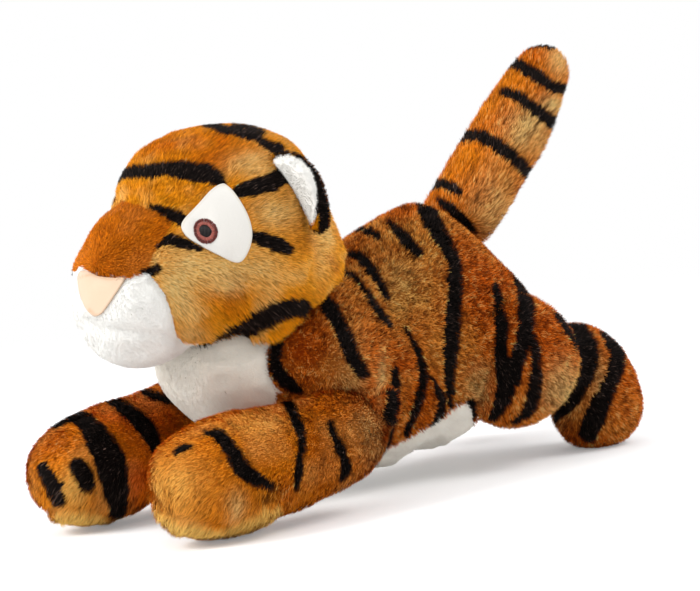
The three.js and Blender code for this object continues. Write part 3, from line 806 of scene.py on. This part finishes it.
# The far side of the muzzle is read mirrored, with its upper edge raised a little towards the middle
def headWhite(points):
    across = -points[:, 0]
    far = across > whiteCloth["farSide"]
    left = (whiteCloth["farSideEnd"] - across) / (whiteCloth["farSideEnd"] - whiteCloth["farSide"])
    turned = points.copy()
    turned[:, 0] = np.where(far, across, points[:, 0])
    turned[:, 2] -= np.where(far, whiteCloth["farSideLift"] * np.clip(left, 0, 1), 0)
    pixels = toPixels(turned)
    bridge = insideOutline(pixels, clothOutlines["bridge"])
    front = (points[:, 1] < whiteCloth["muzzleBack"]) & insideOutline(pixels, clothOutlines["muzzle"])
    chin = insideOutline(pixels, clothOutlines["chin"]) & (points[:, 2] < whiteCloth["chinTop"])
    return (front | chin) & ~bridge, bridge


def headColours(points, normals):
    base, _ = groundCoat("head", points)
    base = withTonesAndPaintedLight(base, points, normals, pileTonesAndPaintedLight["head"])
    white, bridge = headWhite(points)
    base = laid(base, "amber", bridge * 0.9)
    stripes = stripeShare(points, normals, headStripes, headStripes, bands["headPitch"], reading["headFade"])
    return laid(laid(base, "dark", stripes), "white", white * 1.0)


def surfaceOf(mesh):
    return BVHTree.FromPolygons([v.co for v in mesh.vertices], [p.vertices for p in mesh.polygons])


# Which of the named nodes lies nearest to each point
def clothFinder(nodeNames):
    trees = [surfaceOf(frame["nodes"][nodeName].data) for nodeName in nodeNames]

    def nearestNode(points):
        best = np.full(len(points), 1e9)
        index = np.zeros(len(points), int)
        for number, tree in enumerate(trees):
            gaps = np.array([tree.find_nearest(p)[3] for p in points])
            closer = gaps < best
            best[closer], index[closer] = gaps[closer], number
        return index

    return nearestNode


trunkFinder = clothFinder(trunkPanels)


# White where the photograph shows it, and by the panels where it doesn't
def trunkWhite(points, normals):
    pixels = nearSidePixels(points)
    nearNormals = normals.copy()
    nearNormals[:, 0] = np.abs(nearNormals[:, 0])
    corner = whiteCloth["nearLegCorner"]
    behindLeg = (pixels[:, 0] < corner[0]) & (pixels[:, 1] > corner[1])
    seen = (-(nearNormals @ camAhead) > whiteCloth["leastSeen"]) & ~behindLeg
    outlined = insideOutline(pixels, clothOutlines["chest"]) | insideOutline(pixels, clothOutlines["belly"])
    whitePanels = ("chest_panel", "belly_panel")
    inPanel = trunkFinder(points) < len(whitePanels)
    return np.where(seen, outlined, inPanel) & (points[:, 2] < whiteCloth["chestTop"])


def trunkColours(points, normals):
    base, _ = groundCoat("trunk", points)
    base = withTonesAndPaintedLight(base, points, normals, pileTonesAndPaintedLight["trunk"])
    stripes = stripeShare(points, normals, trunkStripes, trunkStripes, bands["trunkPitch"],
                          reading["bodyFade"])
    return laid(laid(base, "dark", stripes), "chest", trunkWhite(points, normals) * 1.0)


def tailColours(points, normals):
    base, _ = groundCoat("tail", points)
    base = withTonesAndPaintedLight(base, points, normals, pileTonesAndPaintedLight["tail"])
    return laid(base, "dark", stripeShare(points, normals, tailStripes, tailStripes))


# The sole's colour comes in over a few pixels below its seam
def soleShare(points, normals, own, other):
    ragged = patches(points, cuffs["ragged"])[:, None] * np.array([0, 1])
    share = np.zeros(len(points))
    for chosen, pixels, outline in readings(points, normals, clothOutlines[own], clothOutlines[other]):
        depth = insideLine(pixels + ragged, hairline(outline[:-2]))
        inside = chosen & insideOutline(pixels + ragged, outline)
        share = np.where(inside, eased(depth, 0, cuffs["soleFade"]), share)
    underneath = eased(cuffs["soleFloor"] - points[:, 2], 0, cuffs["soleFloorFade"])
    return np.where(points[:, 2] < cuffs["soleTop"], np.maximum(share, underneath), 0)


legFacts = {
    "left": (leftLegStripes, "leftLeg", "soleLeft"),
    "right": (rightLegStripes, "rightLeg", "soleRight"),
}


def frontLegColours(side):
    own = legFacts[side]
    other = legFacts["right" if side == "left" else "left"]

    def colours(points, normals):
        base, light = groundCoat("leg", points)
        upper = eased(points[:, 1], cuffs["darkFrom"], cuffs["darkTo"])
        base = laid(base, "russet", upper * 0.5 - light * 0.5)
        base = withTonesAndPaintedLight(base, points, normals, pileTonesAndPaintedLight[own[1]], pileTonesAndPaintedLight[other[1]])
        base = laid(base, "dark", stripeShare(points, normals, own[0], other[0]))
        return laid(base, "honey", soleShare(points, normals, own[2], other[2]) * 0.9)

    return colours


thighStripes = {key: line for key, line in trunkStripes.items() if key.startswith("thigh")}
hindStripes = {**footStripes, **thighStripes}


def hindLegColours(points, normals):
    base, _ = groundCoat("hind", points)
    base = withTonesAndPaintedLight(base, points, normals, pileTonesAndPaintedLight["hind"] + pileTonesAndPaintedLight["trunk"])
    stripes = stripeShare(points, normals, hindStripes, hindStripes, bands["hindPitch"], reading["bodyFade"])
    return laid(base, "dark", stripes)


earLook = {"faces": 6, "ragged": [(2, 12, 1)], "rimTurn": (0.75, 0.92)}


# The ear is white inside, gold behind, and dark all along its rim
def earColours(side):
    finder = clothFinder(earNodes(side))
    largest = sorted(frame["nodes"][f"ear_front_{side}"].data.polygons, key=lambda face: -face.area)
    faces = largest[:earLook["faces"]]
    facing = np.array(sum((face.normal * face.area for face in faces), Vector()).normalized())

    def colours(points, normals):
        front = finder(points) == 1
        ragged = patches(points, earLook["ragged"])[:, None]
        white = front & insideOutline(nearSidePixels(points) + ragged, clothOutlines["earInner"])
        rim = np.where(front, 1.0, 1 - eased(np.abs(normals @ facing), *earLook["rimTurn"]))
        base = laid(coat("gold", len(points)), "white", white * 1.0)
        return laid(base, "dark", rim * ~white)

    return colours


def unit(vectors):
    return vectors / np.maximum(np.linalg.norm(vectors, axis=1, keepdims=True), 1e-12)


# Eyes and nose: outlines and radii in the photograph's pixels
eyeLook = {
    "outline": [(222, 185), (231, 190), (240, 201), (248, 216), (252, 232), (250, 247), (243, 260),
                (234, 262), (217, 255), (201, 247), (187, 238), (181, 228), (187, 217), (200, 203),
                (212, 190)],
    "iris": (205.5, 231.8),
    "irisRadius": 13.2,
    "ringRadius": 10.2,
    "pupilRadius": 6.9,
    "lift": 1.3 * millimetre,
    "threadLift": 0.1 * millimetre,
    "thickness": 1.0 * millimetre,
    "threads": 76,
    "pupilRows": 19,
    "threadWidth": 0.5 * millimetre,
    "colour": (0.70, 0.68, 0.64),
    "rim": (0.66, 0.62, 0.54),
    "outer": (0.11, 0.022, 0.018),
    "inner": (0.30, 0.085, 0.065),
    "pupil": (0.008, 0.006, 0.006),
}
noseLook = {
    "outline": [(81, 273), (86, 272), (96, 276), (110, 279), (123, 277), (126, 279), (123, 285), (115, 297),
                (106, 310), (100, 315), (94, 314), (87, 306), (82, 293), (80, 280)],
    "lift": 1.5 * millimetre,
    "thickness": 1.0 * millimetre,
    "colour": (0.66, 0.48, 0.34),
    "rim": (0.60, 0.40, 0.25),
}

# Pile: strands rooted on a skin, leaning with the nap and narrowing to their tips
squareMillimetres = 1e6  # in a square metre
strand = {
    "width": 0.26 * millimetre,
    "widths": (0.8, 1.2),
    "lengths": (0.7, 1.2),
    "rootDepth": 0.3 * millimetre,
    "floorGap": 0.2 * millimetre,
    "mostInPiece": 45000,
    "quickShare": 0.35,
    "readAhead": 0.8 * millimetre,
    "whiteLean": 1.5,
    "whiteCalm": 0.12,
    "whiteShorter": 0.4,
    "clumps": [(1.2, 31, 2.2), (3, 32, 0.8)],
    "lightness": 0.7,
    "brightest": 0.98,
    "rootLightness": (0.5, 1.1),
    "glints": 0.06,
    "glint": 9,
}
# Each body's pile: strands for each square millimetre, lean along the nap, and how unruly they are
pile = {
    "head": {"density": 4.2, "lean": 1.6, "tuft": 0.30, "tuftSize": 5 * millimetre, "stray": 0.09,
             "streak": 0.75},
    "trunk": {"density": 3.8, "lean": 0.35, "tuft": 0.34, "tuftSize": 4 * millimetre, "stray": 0.18,
              "streak": 0.2, "nap": (0.0, 0.8, -0.55), "length": 2.6 * millimetre},
    "tail": {"density": 3.6, "lean": 1.3, "tuft": 0.40, "tuftSize": 4 * millimetre, "stray": 0.14,
             "streak": 0.7, "nap": (0.0, 0.55, 0.75), "length": 3.6 * millimetre},
    "leg": {"density": 3.4, "lean": 1.3, "tuft": 0.36, "tuftSize": 5 * millimetre, "stray": 0.12,
            "streak": 0.6},
    "hind": {"density": 3.5, "lean": 0.7, "tuft": 0.40, "tuftSize": 4 * millimetre, "stray": 0.16,
             "streak": 0.3, "nap": (0.0, 0.6, -0.6), "length": 2.8 * millimetre},
    "ear": {"density": 4.5, "lean": 1.3, "tuft": 0.30, "tuftSize": 4 * millimetre, "stray": 0.12,
            "streak": 0.5, "length": 1.9 * millimetre},
}


# The nap turns downwards below a height, over a stretch above and below it, in metres
lowNap = {
    "head": {"below": 0.135, "over": (-0.01, 0.04), "way": (0, 0.1, -0.9)},
    "leg": {"below": 0.03, "over": (-0.01, 0.02), "way": (0, 0, -0.9)},
}
noseTip = (0, -0.165, 0.13)
legNap = (0, -0.9, -0.2)


def turnedLow(kind, points):
    facts = lowNap[kind]
    return eased(facts["below"] - points[:, 2], *facts["over"])[:, None] * np.array(facts["way"])


# Which way the pile lies: back from the nose on the head and ears, forward and down on the front legs
def napAt(kind, points):
    if kind in ("head", "ear"):
        return unit(unit(points - np.array(noseTip)) + turnedLow("head", points))
    if kind == "leg":
        return unit(np.array(legNap) + turnedLow("leg", points))
    return unit(np.tile(pile[kind]["nap"], (len(points), 1)))


# Lengths of the pile in millimetres, and the places in metres where it changes
headPileFacts = {
    "short": 2.2,
    "plain": 3.0,
    "jawMore": 2.2,
    "jawTop": 0.112,
    "jawFade": (-0.012, 0.02),
    "jawFront": (-0.14, -0.12),
    "trimmedTo": 0.5,
    "trimPixels": (1, 9),
}
legPileFacts = {
    "plain": 2.8,
    "pawMore": 2.6,
    "pawFrom": (0.1, 0.14),
    "soleFade": (0.004, 0.010),
    "cuffTop": 0.026,
    "cuffFade": (-0.008, 0.008),
}


# The pile is longer along the jaw, short on the muzzle and bridge, and trimmed where it meets the felt
def headLength(points):
    facts = headPileFacts
    jaw = eased(facts["jawTop"] - points[:, 2], *facts["jawFade"]) * eased(points[:, 1], *facts["jawFront"])
    white, bridge = headWhite(points)
    feltGap = insideLine(nearSidePixels(points), hairline(eyeLook["outline"] + eyeLook["outline"][:1]))
    trimmed = facts["trimmedTo"] + (1 - facts["trimmedTo"]) * eased(feltGap, *facts["trimPixels"])
    furry = (facts["plain"] + facts["jawMore"] * jaw) * trimmed
    return np.where(white | bridge, facts["short"], furry) * millimetre


# The pile is longer above the sole of the paw
def legLength(points):
    facts = legPileFacts
    height = points[:, 2]
    cuff = eased(height, *facts["soleFade"]) * eased(facts["cuffTop"] - height, *facts["cuffFade"])
    return (facts["plain"] + facts["pawMore"] * eased(-points[:, 1], *facts["pawFrom"]) * cuff) * millimetre


def lengthAt(kind, points):
    varied = {"head": headLength, "leg": legLength}
    return varied[kind](points) if kind in varied else pile[kind]["length"]


def scatter(mesh, density):
    mesh.calc_loop_triangles()
    corners = np.zeros(len(mesh.loop_triangles) * 3, int)
    mesh.loop_triangles.foreach_get("vertices", corners)
    corners = corners.reshape(-1, 3)
    spots, outward = places(mesh), vertexNormals(mesh)
    a, b, c = (spots[corners[:, k]] for k in range(3))
    area = np.linalg.norm(np.cross(b - a, c - a), axis=1) / 2
    count = int(area.sum() * squareMillimetres * density)
    chosen = rng.choice(len(corners), count, p=area / area.sum())
    first, second = rng.random(count), rng.random(count)
    over = first + second > 1
    first[over], second[over] = 1 - first[over], 1 - second[over]
    weights = np.stack([1 - first - second, first, second], axis=1)
    roots = sum(weights[:, k:k + 1] * spots[corners[chosen, k]] for k in range(3))
    normals = sum(weights[:, k:k + 1] * outward[corners[chosen, k]] for k in range(3))
    return roots, unit(normals)


# Each strand's colours fill its own cell of the map, across and along
def strandMap(mesh, count):
    side = math.ceil(math.sqrt(count))
    cell = np.stack([np.arange(count) % side, np.arange(count) // side], axis=1)[:, None, :]
    corners = [(0.3, 0.1), (0.7, 0.1), (0.7, 0.5), (0.3, 0.5), (0.3, 0.5), (0.7, 0.5), (0.7, 0.9), (0.3, 0.9)]
    mesh.uv_layers.new(name="OFBake").data.foreach_set("uv", ((cell + np.array(corners)) / side).ravel())


# A strand is two faces on six corners, in pairs at its root, middle and tip
def strandMesh(name, roots, normals, lower, upper, length, width, colours, shading):
    count = len(roots)
    middle = roots + lower * length[:, None] * 0.5
    tip = middle + upper * length[:, None] * 0.5
    across = unit(np.cross(upper, normals) + rng.normal(0, 0.3, (count, 3)))
    half = (width / 2)[:, None]
    levels = [(roots - normals * strand["rootDepth"], half), (middle, half), (tip, half * 0.3)]
    corners = np.stack([place + sign * across * size for place, size in levels for sign in (-1, 1)], axis=1)
    corners[:, :, 2] = np.maximum(corners[:, :, 2], strand["floorGap"])
    faces = np.array([[0, 1, 3, 2], [2, 3, 5, 4]])[None] + np.arange(count)[:, None, None] * 6
    mesh = bpy.data.meshes.new(name)
    mesh.vertices.add(count * 6)
    mesh.vertices.foreach_set("co", corners.ravel())
    mesh.loops.add(count * 8)
    mesh.loops.foreach_set("vertex_index", faces.ravel())
    mesh.polygons.add(count * 2)
    mesh.polygons.foreach_set("loop_start", np.arange(0, count * 8, 4))
    shadeSmooth(mesh)
    mesh.update(calc_edges=True)
    strandMap(mesh, count)
    paint(mesh, np.repeat(colours, 2, axis=1).reshape(-1, 3))
    mesh.normals_split_custom_set_from_vertices(np.repeat(shading, 6, axis=0))
    return placed(name, mesh)


# The ways of a strand's lower and upper half
def strandWays(look, roots, normals, lean, calm):
    tuft = np.stack([softNoise(roots, look["tuftSize"], seed) for seed in (21, 22, 23)], axis=1)
    tuft = tuft * look["tuft"] * calm
    stray = rng.normal(0, look["stray"], roots.shape) * calm
    return unit(normals + lean * 0.6 + tuft * 0.6 + stray), unit(normals * 0.6 + lean + tuft + stray * 1.5)


# Clumps along the nap lighten and darken the strands, and the lightest tips turn pale
def strandTones(look, roots, nap, root, tip, spread):
    count = len(roots)
    along = np.sum(roots * nap, axis=1, keepdims=True)
    clumps = patches(roots - nap * along * look["streak"], strand["clumps"])
    lightness = np.exp(rng.normal(0, strand["lightness"], count) * spread + clumps * spread)
    lightness = np.minimum(lightness, strand["brightest"] / np.maximum(tip.max(axis=1), 0.1))
    pale = np.clip(clumps * 0.5 + rng.normal(-0.3, 0.25, count), 0, 1)
    tip = mixed(tip, paleTip, pale * np.clip(spread * 1.6 - 0.55, 0, 1) * (tip[:, 0] > 0.1))
    # A few dark strands get painted glints: tips many times lighter, standing for highlights on the black pile
    glint = 1 + strand["glint"] * (rng.random(count) < strand["glints"]) * (tip[:, 0] < 0.05)
    tip = np.clip(tip * lightness[:, None] * glint[:, None], 0, 0.96)
    # Roots darken with the strand's lightness: partly random tone, partly painted shade where the pile parts
    root = root * np.clip(lightness, *strand["rootLightness"])[:, None]
    return np.stack([root, mixed(root, tip, np.full(count, 0.6)), tip], axis=1)


def growPile(name, skin, body, kind, colourAt, bald=None):
    look = pile[kind]
    roots, normals = scatter(skin.data, look["density"] * (1.0))
    if bald is not None:
        kept = ~bald(roots)
        roots, normals = roots[kept], normals[kept]
    count = len(roots)
    nap = napAt(kind, roots)
    root, tip, spread = colourAt(roots + nap * look["lean"] * strand["readAhead"], normals)
    white = (tip[:, 2:] > 0.5) * 1.0
    calm = 1 - white * (1 - strand["whiteCalm"])
    nap = unit(nap - normals * np.sum(nap * normals, axis=1, keepdims=True))
    lean = nap * (look["lean"] * (1 - white) + strand["whiteLean"] * white)
    lower, upper = strandWays(look, roots, normals, lean, calm)
    length = lengthAt(kind, roots) * rng.uniform(*strand["lengths"], count)
    length = length * (1 - strand["whiteShorter"] * white[:, 0])
    colours = strandTones(look, roots, nap, root, tip, spread)
    shading = unit(normals + upper * 0.25 * calm + rng.normal(0, 0.12, (count, 3)) * calm)
    width = strand["width"] * rng.uniform(*strand["widths"], count)
    facts = (roots, normals, lower, upper, length, width, colours, shading)
    shuffled = rng.permutation(count)
    for number, start in enumerate(range(0, count, strand["mostInPiece"]), 1):
        part = shuffled[start:start + strand["mostInPiece"]]
        strands = strandMesh(f"{name}{number}", *(values[part] for values in facts))
        strands.data.materials.append(pileMaterial)
        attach(strands, body)
    print(f"stage: {name} has {count} strands")


def dressSkin(skin, body, colourAt, nodeNames):
    mesh = skin.data
    root, tip, _ = colourAt(places(mesh), vertexNormals(mesh))
    # The backing is painted mostly in the dark root colour: partly the cloth's own, partly painted shade in
    # the gaps between strands
    paint(mesh, mixed(root, tip, np.full(len(root), 0.2)))
    mesh.materials.clear()
    mesh.materials.append(backingMaterial)
    shadeSmooth(mesh)
    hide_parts(*nodeNames)
    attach(skin, body)


dressSkin(trunkSkin, "trunk", trunkColours, ["trunk_filling"] + trunkPanels)
growPile("trunkPile", trunkSkin, "trunk", "trunk", trunkColours)
dressSkin(headSkin, "head", headColours, ["head_filling"] + headPanels)
dressSkin(tailSkin, "tail", tailColours, ["tail"])
growPile("tailPile", tailSkin, "tail", "tail", tailColours)
for side in ("left", "right"):
    for name, kind, skin, body, colours, nodeNames in (
            ("frontLegPile", "leg", frontSkins[side], "front_leg", frontLegColours(side), frontNodes(side)),
            ("hindLegPile", "hind", hindSkins[side], "hind_leg", hindLegColours, hindNodes(side)),
            ("earPile", "ear", earSkins[side], "ear", earColours(side), earNodes(side))):
        dressSkin(skin, f"{body}_{side}", colours, nodeNames)
        growPile(f"{name}_{side}", skin, f"{body}_{side}", kind, colours)


# Patches laid on the head: an outline on the photograph, filled with a fine grid and put on the skin
patch = {"curveSteps": 6, "grid": 2.0, "relaxRounds": 6, "cutAllowance": 1.02, "rimWidth": (0.3, 2.2)}
headSurface = surfaceOf(headSkin.data)


def spotOnHead(pixel):
    hit, normal, _, _ = headSurface.ray_cast(Vector(camPlace), Vector(pixelRay(pixel)))
    return hit, normal


# Rings of faces around a middle corner
def ringedFaces(size, rings):
    faces = [(0, 1 + k, 1 + (k + 1) % size) for k in range(size)]
    for ring in range(rings - 1):
        near, far = 1 + ring * size, 1 + (ring + 1) * size
        faces += [(near + k, far + k, far + (k + 1) % size, near + (k + 1) % size) for k in range(size)]
    return faces


def patchSurface(name, edge, lift, mirrored):
    middle = edge.mean(axis=0)
    rings = max(3, int(np.linalg.norm(edge - middle, axis=1).max() / patch["grid"]))
    pixels = [middle]
    for ring in range(1, rings + 1):
        pixels += [middle + (point - middle) * ring / rings for point in edge]
    hits = [spotOnHead(pixel) for pixel in pixels]
    outward = unit(np.array([normal for _, normal in hits]))
    spots = np.array([hit for hit, _ in hits]) + outward * lift
    if mirrored:
        spots, outward = mirroredSide(spots), mirroredSide(outward)
    mesh = bpy.data.meshes.new(name)
    mesh.from_pydata([tuple(spot) for spot in spots], [], ringedFaces(len(edge), rings))
    mesh.update()
    if np.array(mesh.polygons[0].normal) @ outward[0] < 0:
        mesh.flip_normals()
    return relaxed(placed(name, mesh), patch["relaxRounds"])


# The two longer sides of the cloth, laid flat
def flatSides(mesh):
    corners = places(mesh)
    axes = np.linalg.svd(corners - corners.mean(axis=0))[2]
    sides = sorted(np.ptp(corners @ axes.T, axis=0))[:0:-1]
    return tuple(float(side) * patch["cutAllowance"] for side in sides)


def makePatch(name, look, material, mirrored=False):
    edge = curveThrough(look["outline"], patch["curveSteps"], closed=True)
    piece = patchSurface(name, edge, look["lift"], mirrored)
    flat = flatSides(piece.data)
    thick = piece.modifiers.new("thickness", "SOLIDIFY")
    thick.thickness, thick.offset = look["thickness"], -1
    evaluated(piece)
    mesh = piece.data
    shadeSmooth(mesh)
    shade = np.tile(look["colour"], (len(mesh.vertices), 1))
    edgeGap = insideLine(nearSidePixels(places(mesh)), hairline(np.vstack([edge, edge[:1]])))
    paint(mesh, mixed(look["rim"], shade, eased(edgeGap, *patch["rimWidth"])))
    mesh.materials.append(material)
    return piece


# A sewn thread: a tube that narrows where it enters the felt
def threadTube(bm, start, end, outward, width, sides=6):
    along = (end - start).normalized()
    across = along.cross(outward).normalized()
    rings = []
    for part, size in ((0, 0.4), (0.15, 0.95), (0.5, 1.1), (0.85, 0.95), (1, 0.4)):
        place = start.lerp(end, part)
        turns = [math.tau * step / sides for step in range(sides)]
        ways = [across * math.cos(turn) + outward * math.sin(turn) for turn in turns]
        rings.append([bm.verts.new(place + way * width / 2 * size) for way in ways])
    for near, far in zip(rings[:-1], rings[1:]):
        for k in range(sides):
            bm.faces.new((near[k], near[(k + 1) % sides], far[(k + 1) % sides], far[k]))
    bm.faces.new(rings[0][::-1])
    bm.faces.new(rings[-1])


# Threads sewn on the felt, from pixel to pixel
def stitched(name, lines, tones, width, mirrored):
    bm = bmesh.new()
    lift = eyeLook["lift"] + eyeLook["threadLift"]
    shadesOf = []
    for (first, last), tone in zip(lines, tones):
        start, outward = spotOnHead(first)
        end, _ = spotOnHead(last)
        before = len(bm.verts)
        threadTube(bm, start + outward * lift, end + outward * lift, outward, width)
        shadesOf += [tone] * (len(bm.verts) - before)
    if mirrored:
        bmesh.ops.scale(bm, vec=(-1, 1, 1), verts=bm.verts)
    bmesh.ops.recalc_face_normals(bm, faces=bm.faces)
    mesh = newMesh(name, bm)
    shadeSmooth(mesh)
    paint(mesh, np.array(shadesOf))
    mesh.materials.append(threadMaterial)
    return placed(name, mesh)


def ringSpot(radius, turn):
    return (eyeLook["iris"][0] + radius * math.cos(turn), eyeLook["iris"][1] + radius * math.sin(turn))


# Two rings of radial stitches, the inner one reaching a little under the pupil
def irisLines(look):
    lines, tones = [], []
    for low, high, tone in ((look["ringRadius"], look["irisRadius"], look["outer"]),
                            (look["pupilRadius"] * 0.95, look["ringRadius"], look["inner"])):
        for step in range(look["threads"]):
            turn = math.tau * (step + rng.uniform(-0.2, 0.2)) / look["threads"]
            inner = ringSpot(low * rng.uniform(0.97, 1.0), turn)
            lines.append((inner, ringSpot(high * rng.uniform(0.97, 1.02), turn)))
            tones.append(np.array(tone) * rng.uniform(0.7, 1.35))
    return lines, tones


def pupilLines(look):
    lines, tones = [], []
    radius = look["pupilRadius"]
    u, v = look["iris"]
    for step in range(look["pupilRows"]):
        offset = radius * (2 * (step + 0.5) / look["pupilRows"] - 1)
        reach = math.sqrt(radius * radius - offset * offset)
        lines.append(((u + offset, v - reach), (u + offset, v + reach)))
        tones.append(np.array(look["pupil"]) * rng.uniform(0.7, 1.8))
    return lines, tones


def addEye(side):
    look = eyeLook
    mirrored = side == "right"
    felt = makePatch(f"eyeFelt_{side}", look, feltMaterial, mirrored)
    iris = stitched(f"irisStitches_{side}", *irisLines(look), look["threadWidth"], mirrored)
    pupil = stitched(f"pupilStitches_{side}", *pupilLines(look), look["threadWidth"] * 1.1, mirrored)
    for piece, node, slot in ((felt, "eye_patch_", "felt"), (iris, "iris_", "iris_thread"),
                              (pupil, "pupil_", "pupil_thread")):
        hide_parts(node + side)
        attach(piece, "head")


def addNose():
    nose = makePatch("nosePatch", noseLook, suedeMaterial)
    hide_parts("nose")
    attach(nose, "head")


for side in ("left", "right"):
    addEye(side)
addNose()


# No pile grows under the patches
def underPatch(points):
    eyes = insideOutline(nearSidePixels(points), eyeLook["outline"]) & (np.abs(points[:, 0]) > 0.02)
    nose = insideOutline(toPixels(points), noseLook["outline"]) & (points[:, 1] < -0.14)
    return eyes | nose


growPile("headPile", headSkin, "head", "head", headColours, bald=underPatch)


# Neck: a filled collar between head and trunk, hidden unless the head turns
def addNeck():
    collar = gathered("neckCollar", ["neck_filling"])
    relaxed(collar, 2)
    dressSkin(collar, "neck", trunkColours, ["neck_filling"])


addNeck()
print("stage: pieces made")


# Floor, light and world
studio = {
    "floorColour": (0.93, 0.93, 0.93),
    "floorRadius": 1.1,
    "floorFade": 0.45,
    "floorGlow": 0.22,
    "worldStrength": 0.84,
    "key": {"place": (-0.45, -1.55, 1.15), "size": 1.0, "power": 28},
    "rim": {"place": (0.9, 0.9, 1.3), "size": 0.8, "power": 10},
}
white = (1, 1, 1, 1)


# The floor glows a little to the camera, keeps the shadow, and fades out towards its edge
def floorMaterial():
    material, tree, shader = newMaterial("floor", Base_Color=(*studio["floorColour"], 1), Roughness=0.9)
    ray = addNode(tree, "ShaderNodeLightPath", (-600, 400))
    glow = addNode(tree, "ShaderNodeEmission", (0, -300), Strength=studio["floorGlow"])
    clear = addNode(tree, "ShaderNodeBsdfTransparent", (0, -500))
    lit = addNode(tree, "ShaderNodeAddShader", (300, 0))
    seen = addNode(tree, "ShaderNodeMixShader", (500, 100))
    faded = addNode(tree, "ShaderNodeMixShader", (700, 0))
    space = addNode(tree, "ShaderNodeTexCoord", (-900, 0))
    away = addNode(tree, "ShaderNodeVectorMath", (-700, 0))
    away.operation = "LENGTH"
    fade = addNode(tree, "ShaderNodeMapRange", (-500, 0), From_Min=studio["floorFade"],
                   From_Max=studio["floorRadius"])
    fade.interpolation_type = "SMOOTHSTEP"
    joined(tree, (space.outputs["Object"], away.inputs[0]), (away.outputs["Value"], fade.inputs["Value"]),
           (shader.outputs[0], lit.inputs[0]), (glow.outputs[0], lit.inputs[1]),
           (ray.outputs["Is Camera Ray"], seen.inputs[0]), (shader.outputs[0], seen.inputs[1]),
           (lit.outputs[0], seen.inputs[2]), (fade.outputs["Result"], faded.inputs[0]),
           (seen.outputs[0], faded.inputs[1]), (clear.outputs[0], faded.inputs[2]),
           (faded.outputs[0], tree.nodes["Material Output"].inputs["Surface"]))
    return material


def addFloor():
    size = studio["floorRadius"]
    mesh = bpy.data.meshes.new("floor")
    corners = [(-size, -size, 0), (size, -size, 0), (size, size, 0), (-size, size, 0)]
    mesh.from_pydata(corners, [], [(0, 1, 2, 3)])
    mesh.materials.append(floorMaterial())
    placed("floor", mesh)


# The world lights the toy at its own strength and is plain white to the camera and in reflections
def addWorld():
    world = bpy.data.worlds.new("studio")
    bpy.context.scene.world = world
    world.use_nodes = True
    tree = world.node_tree
    lit = tree.nodes["Background"]
    lit.inputs["Color"].default_value = white
    lit.inputs["Strength"].default_value = studio["worldStrength"]
    plain = addNode(tree, "ShaderNodeBackground", (0, -200), Color=white, Strength=1.0)
    ray = addNode(tree, "ShaderNodeLightPath", (-600, 300))
    either = addNode(tree, "ShaderNodeMath", (-400, 200))
    anyOf = addNode(tree, "ShaderNodeMath", (-200, 200))
    either.operation = anyOf.operation = "MAXIMUM"
    both = addNode(tree, "ShaderNodeMixShader", (200, 0))
    joined(tree, (ray.outputs["Is Camera Ray"], either.inputs[0]),
           (ray.outputs["Is Glossy Ray"], either.inputs[1]), (either.outputs[0], anyOf.inputs[0]),
           (ray.outputs["Is Transmission Ray"], anyOf.inputs[1]), (anyOf.outputs[0], both.inputs[0]),
           (lit.outputs[0], both.inputs[1]), (plain.outputs[0], both.inputs[2]),
           (both.outputs[0], tree.nodes["World Output"].inputs["Surface"]))


def addLamp(name):
    facts = studio[name]
    data = bpy.data.lights.new(name, "AREA")
    data.size, data.energy = facts["size"], facts["power"]
    lamp = placed(name, data)
    lamp.location = facts["place"]
    lamp.rotation_mode = "QUATERNION"
    lamp.rotation_quaternion = (Vector(photo["lookAt"]) - lamp.location).to_track_quat("-Z", "Y")


addFloor()
addWorld()
addLamp("key")
addLamp("rim")
bpy.context.scene.view_settings.view_transform = "Standard"
print("stage: floor and lights")
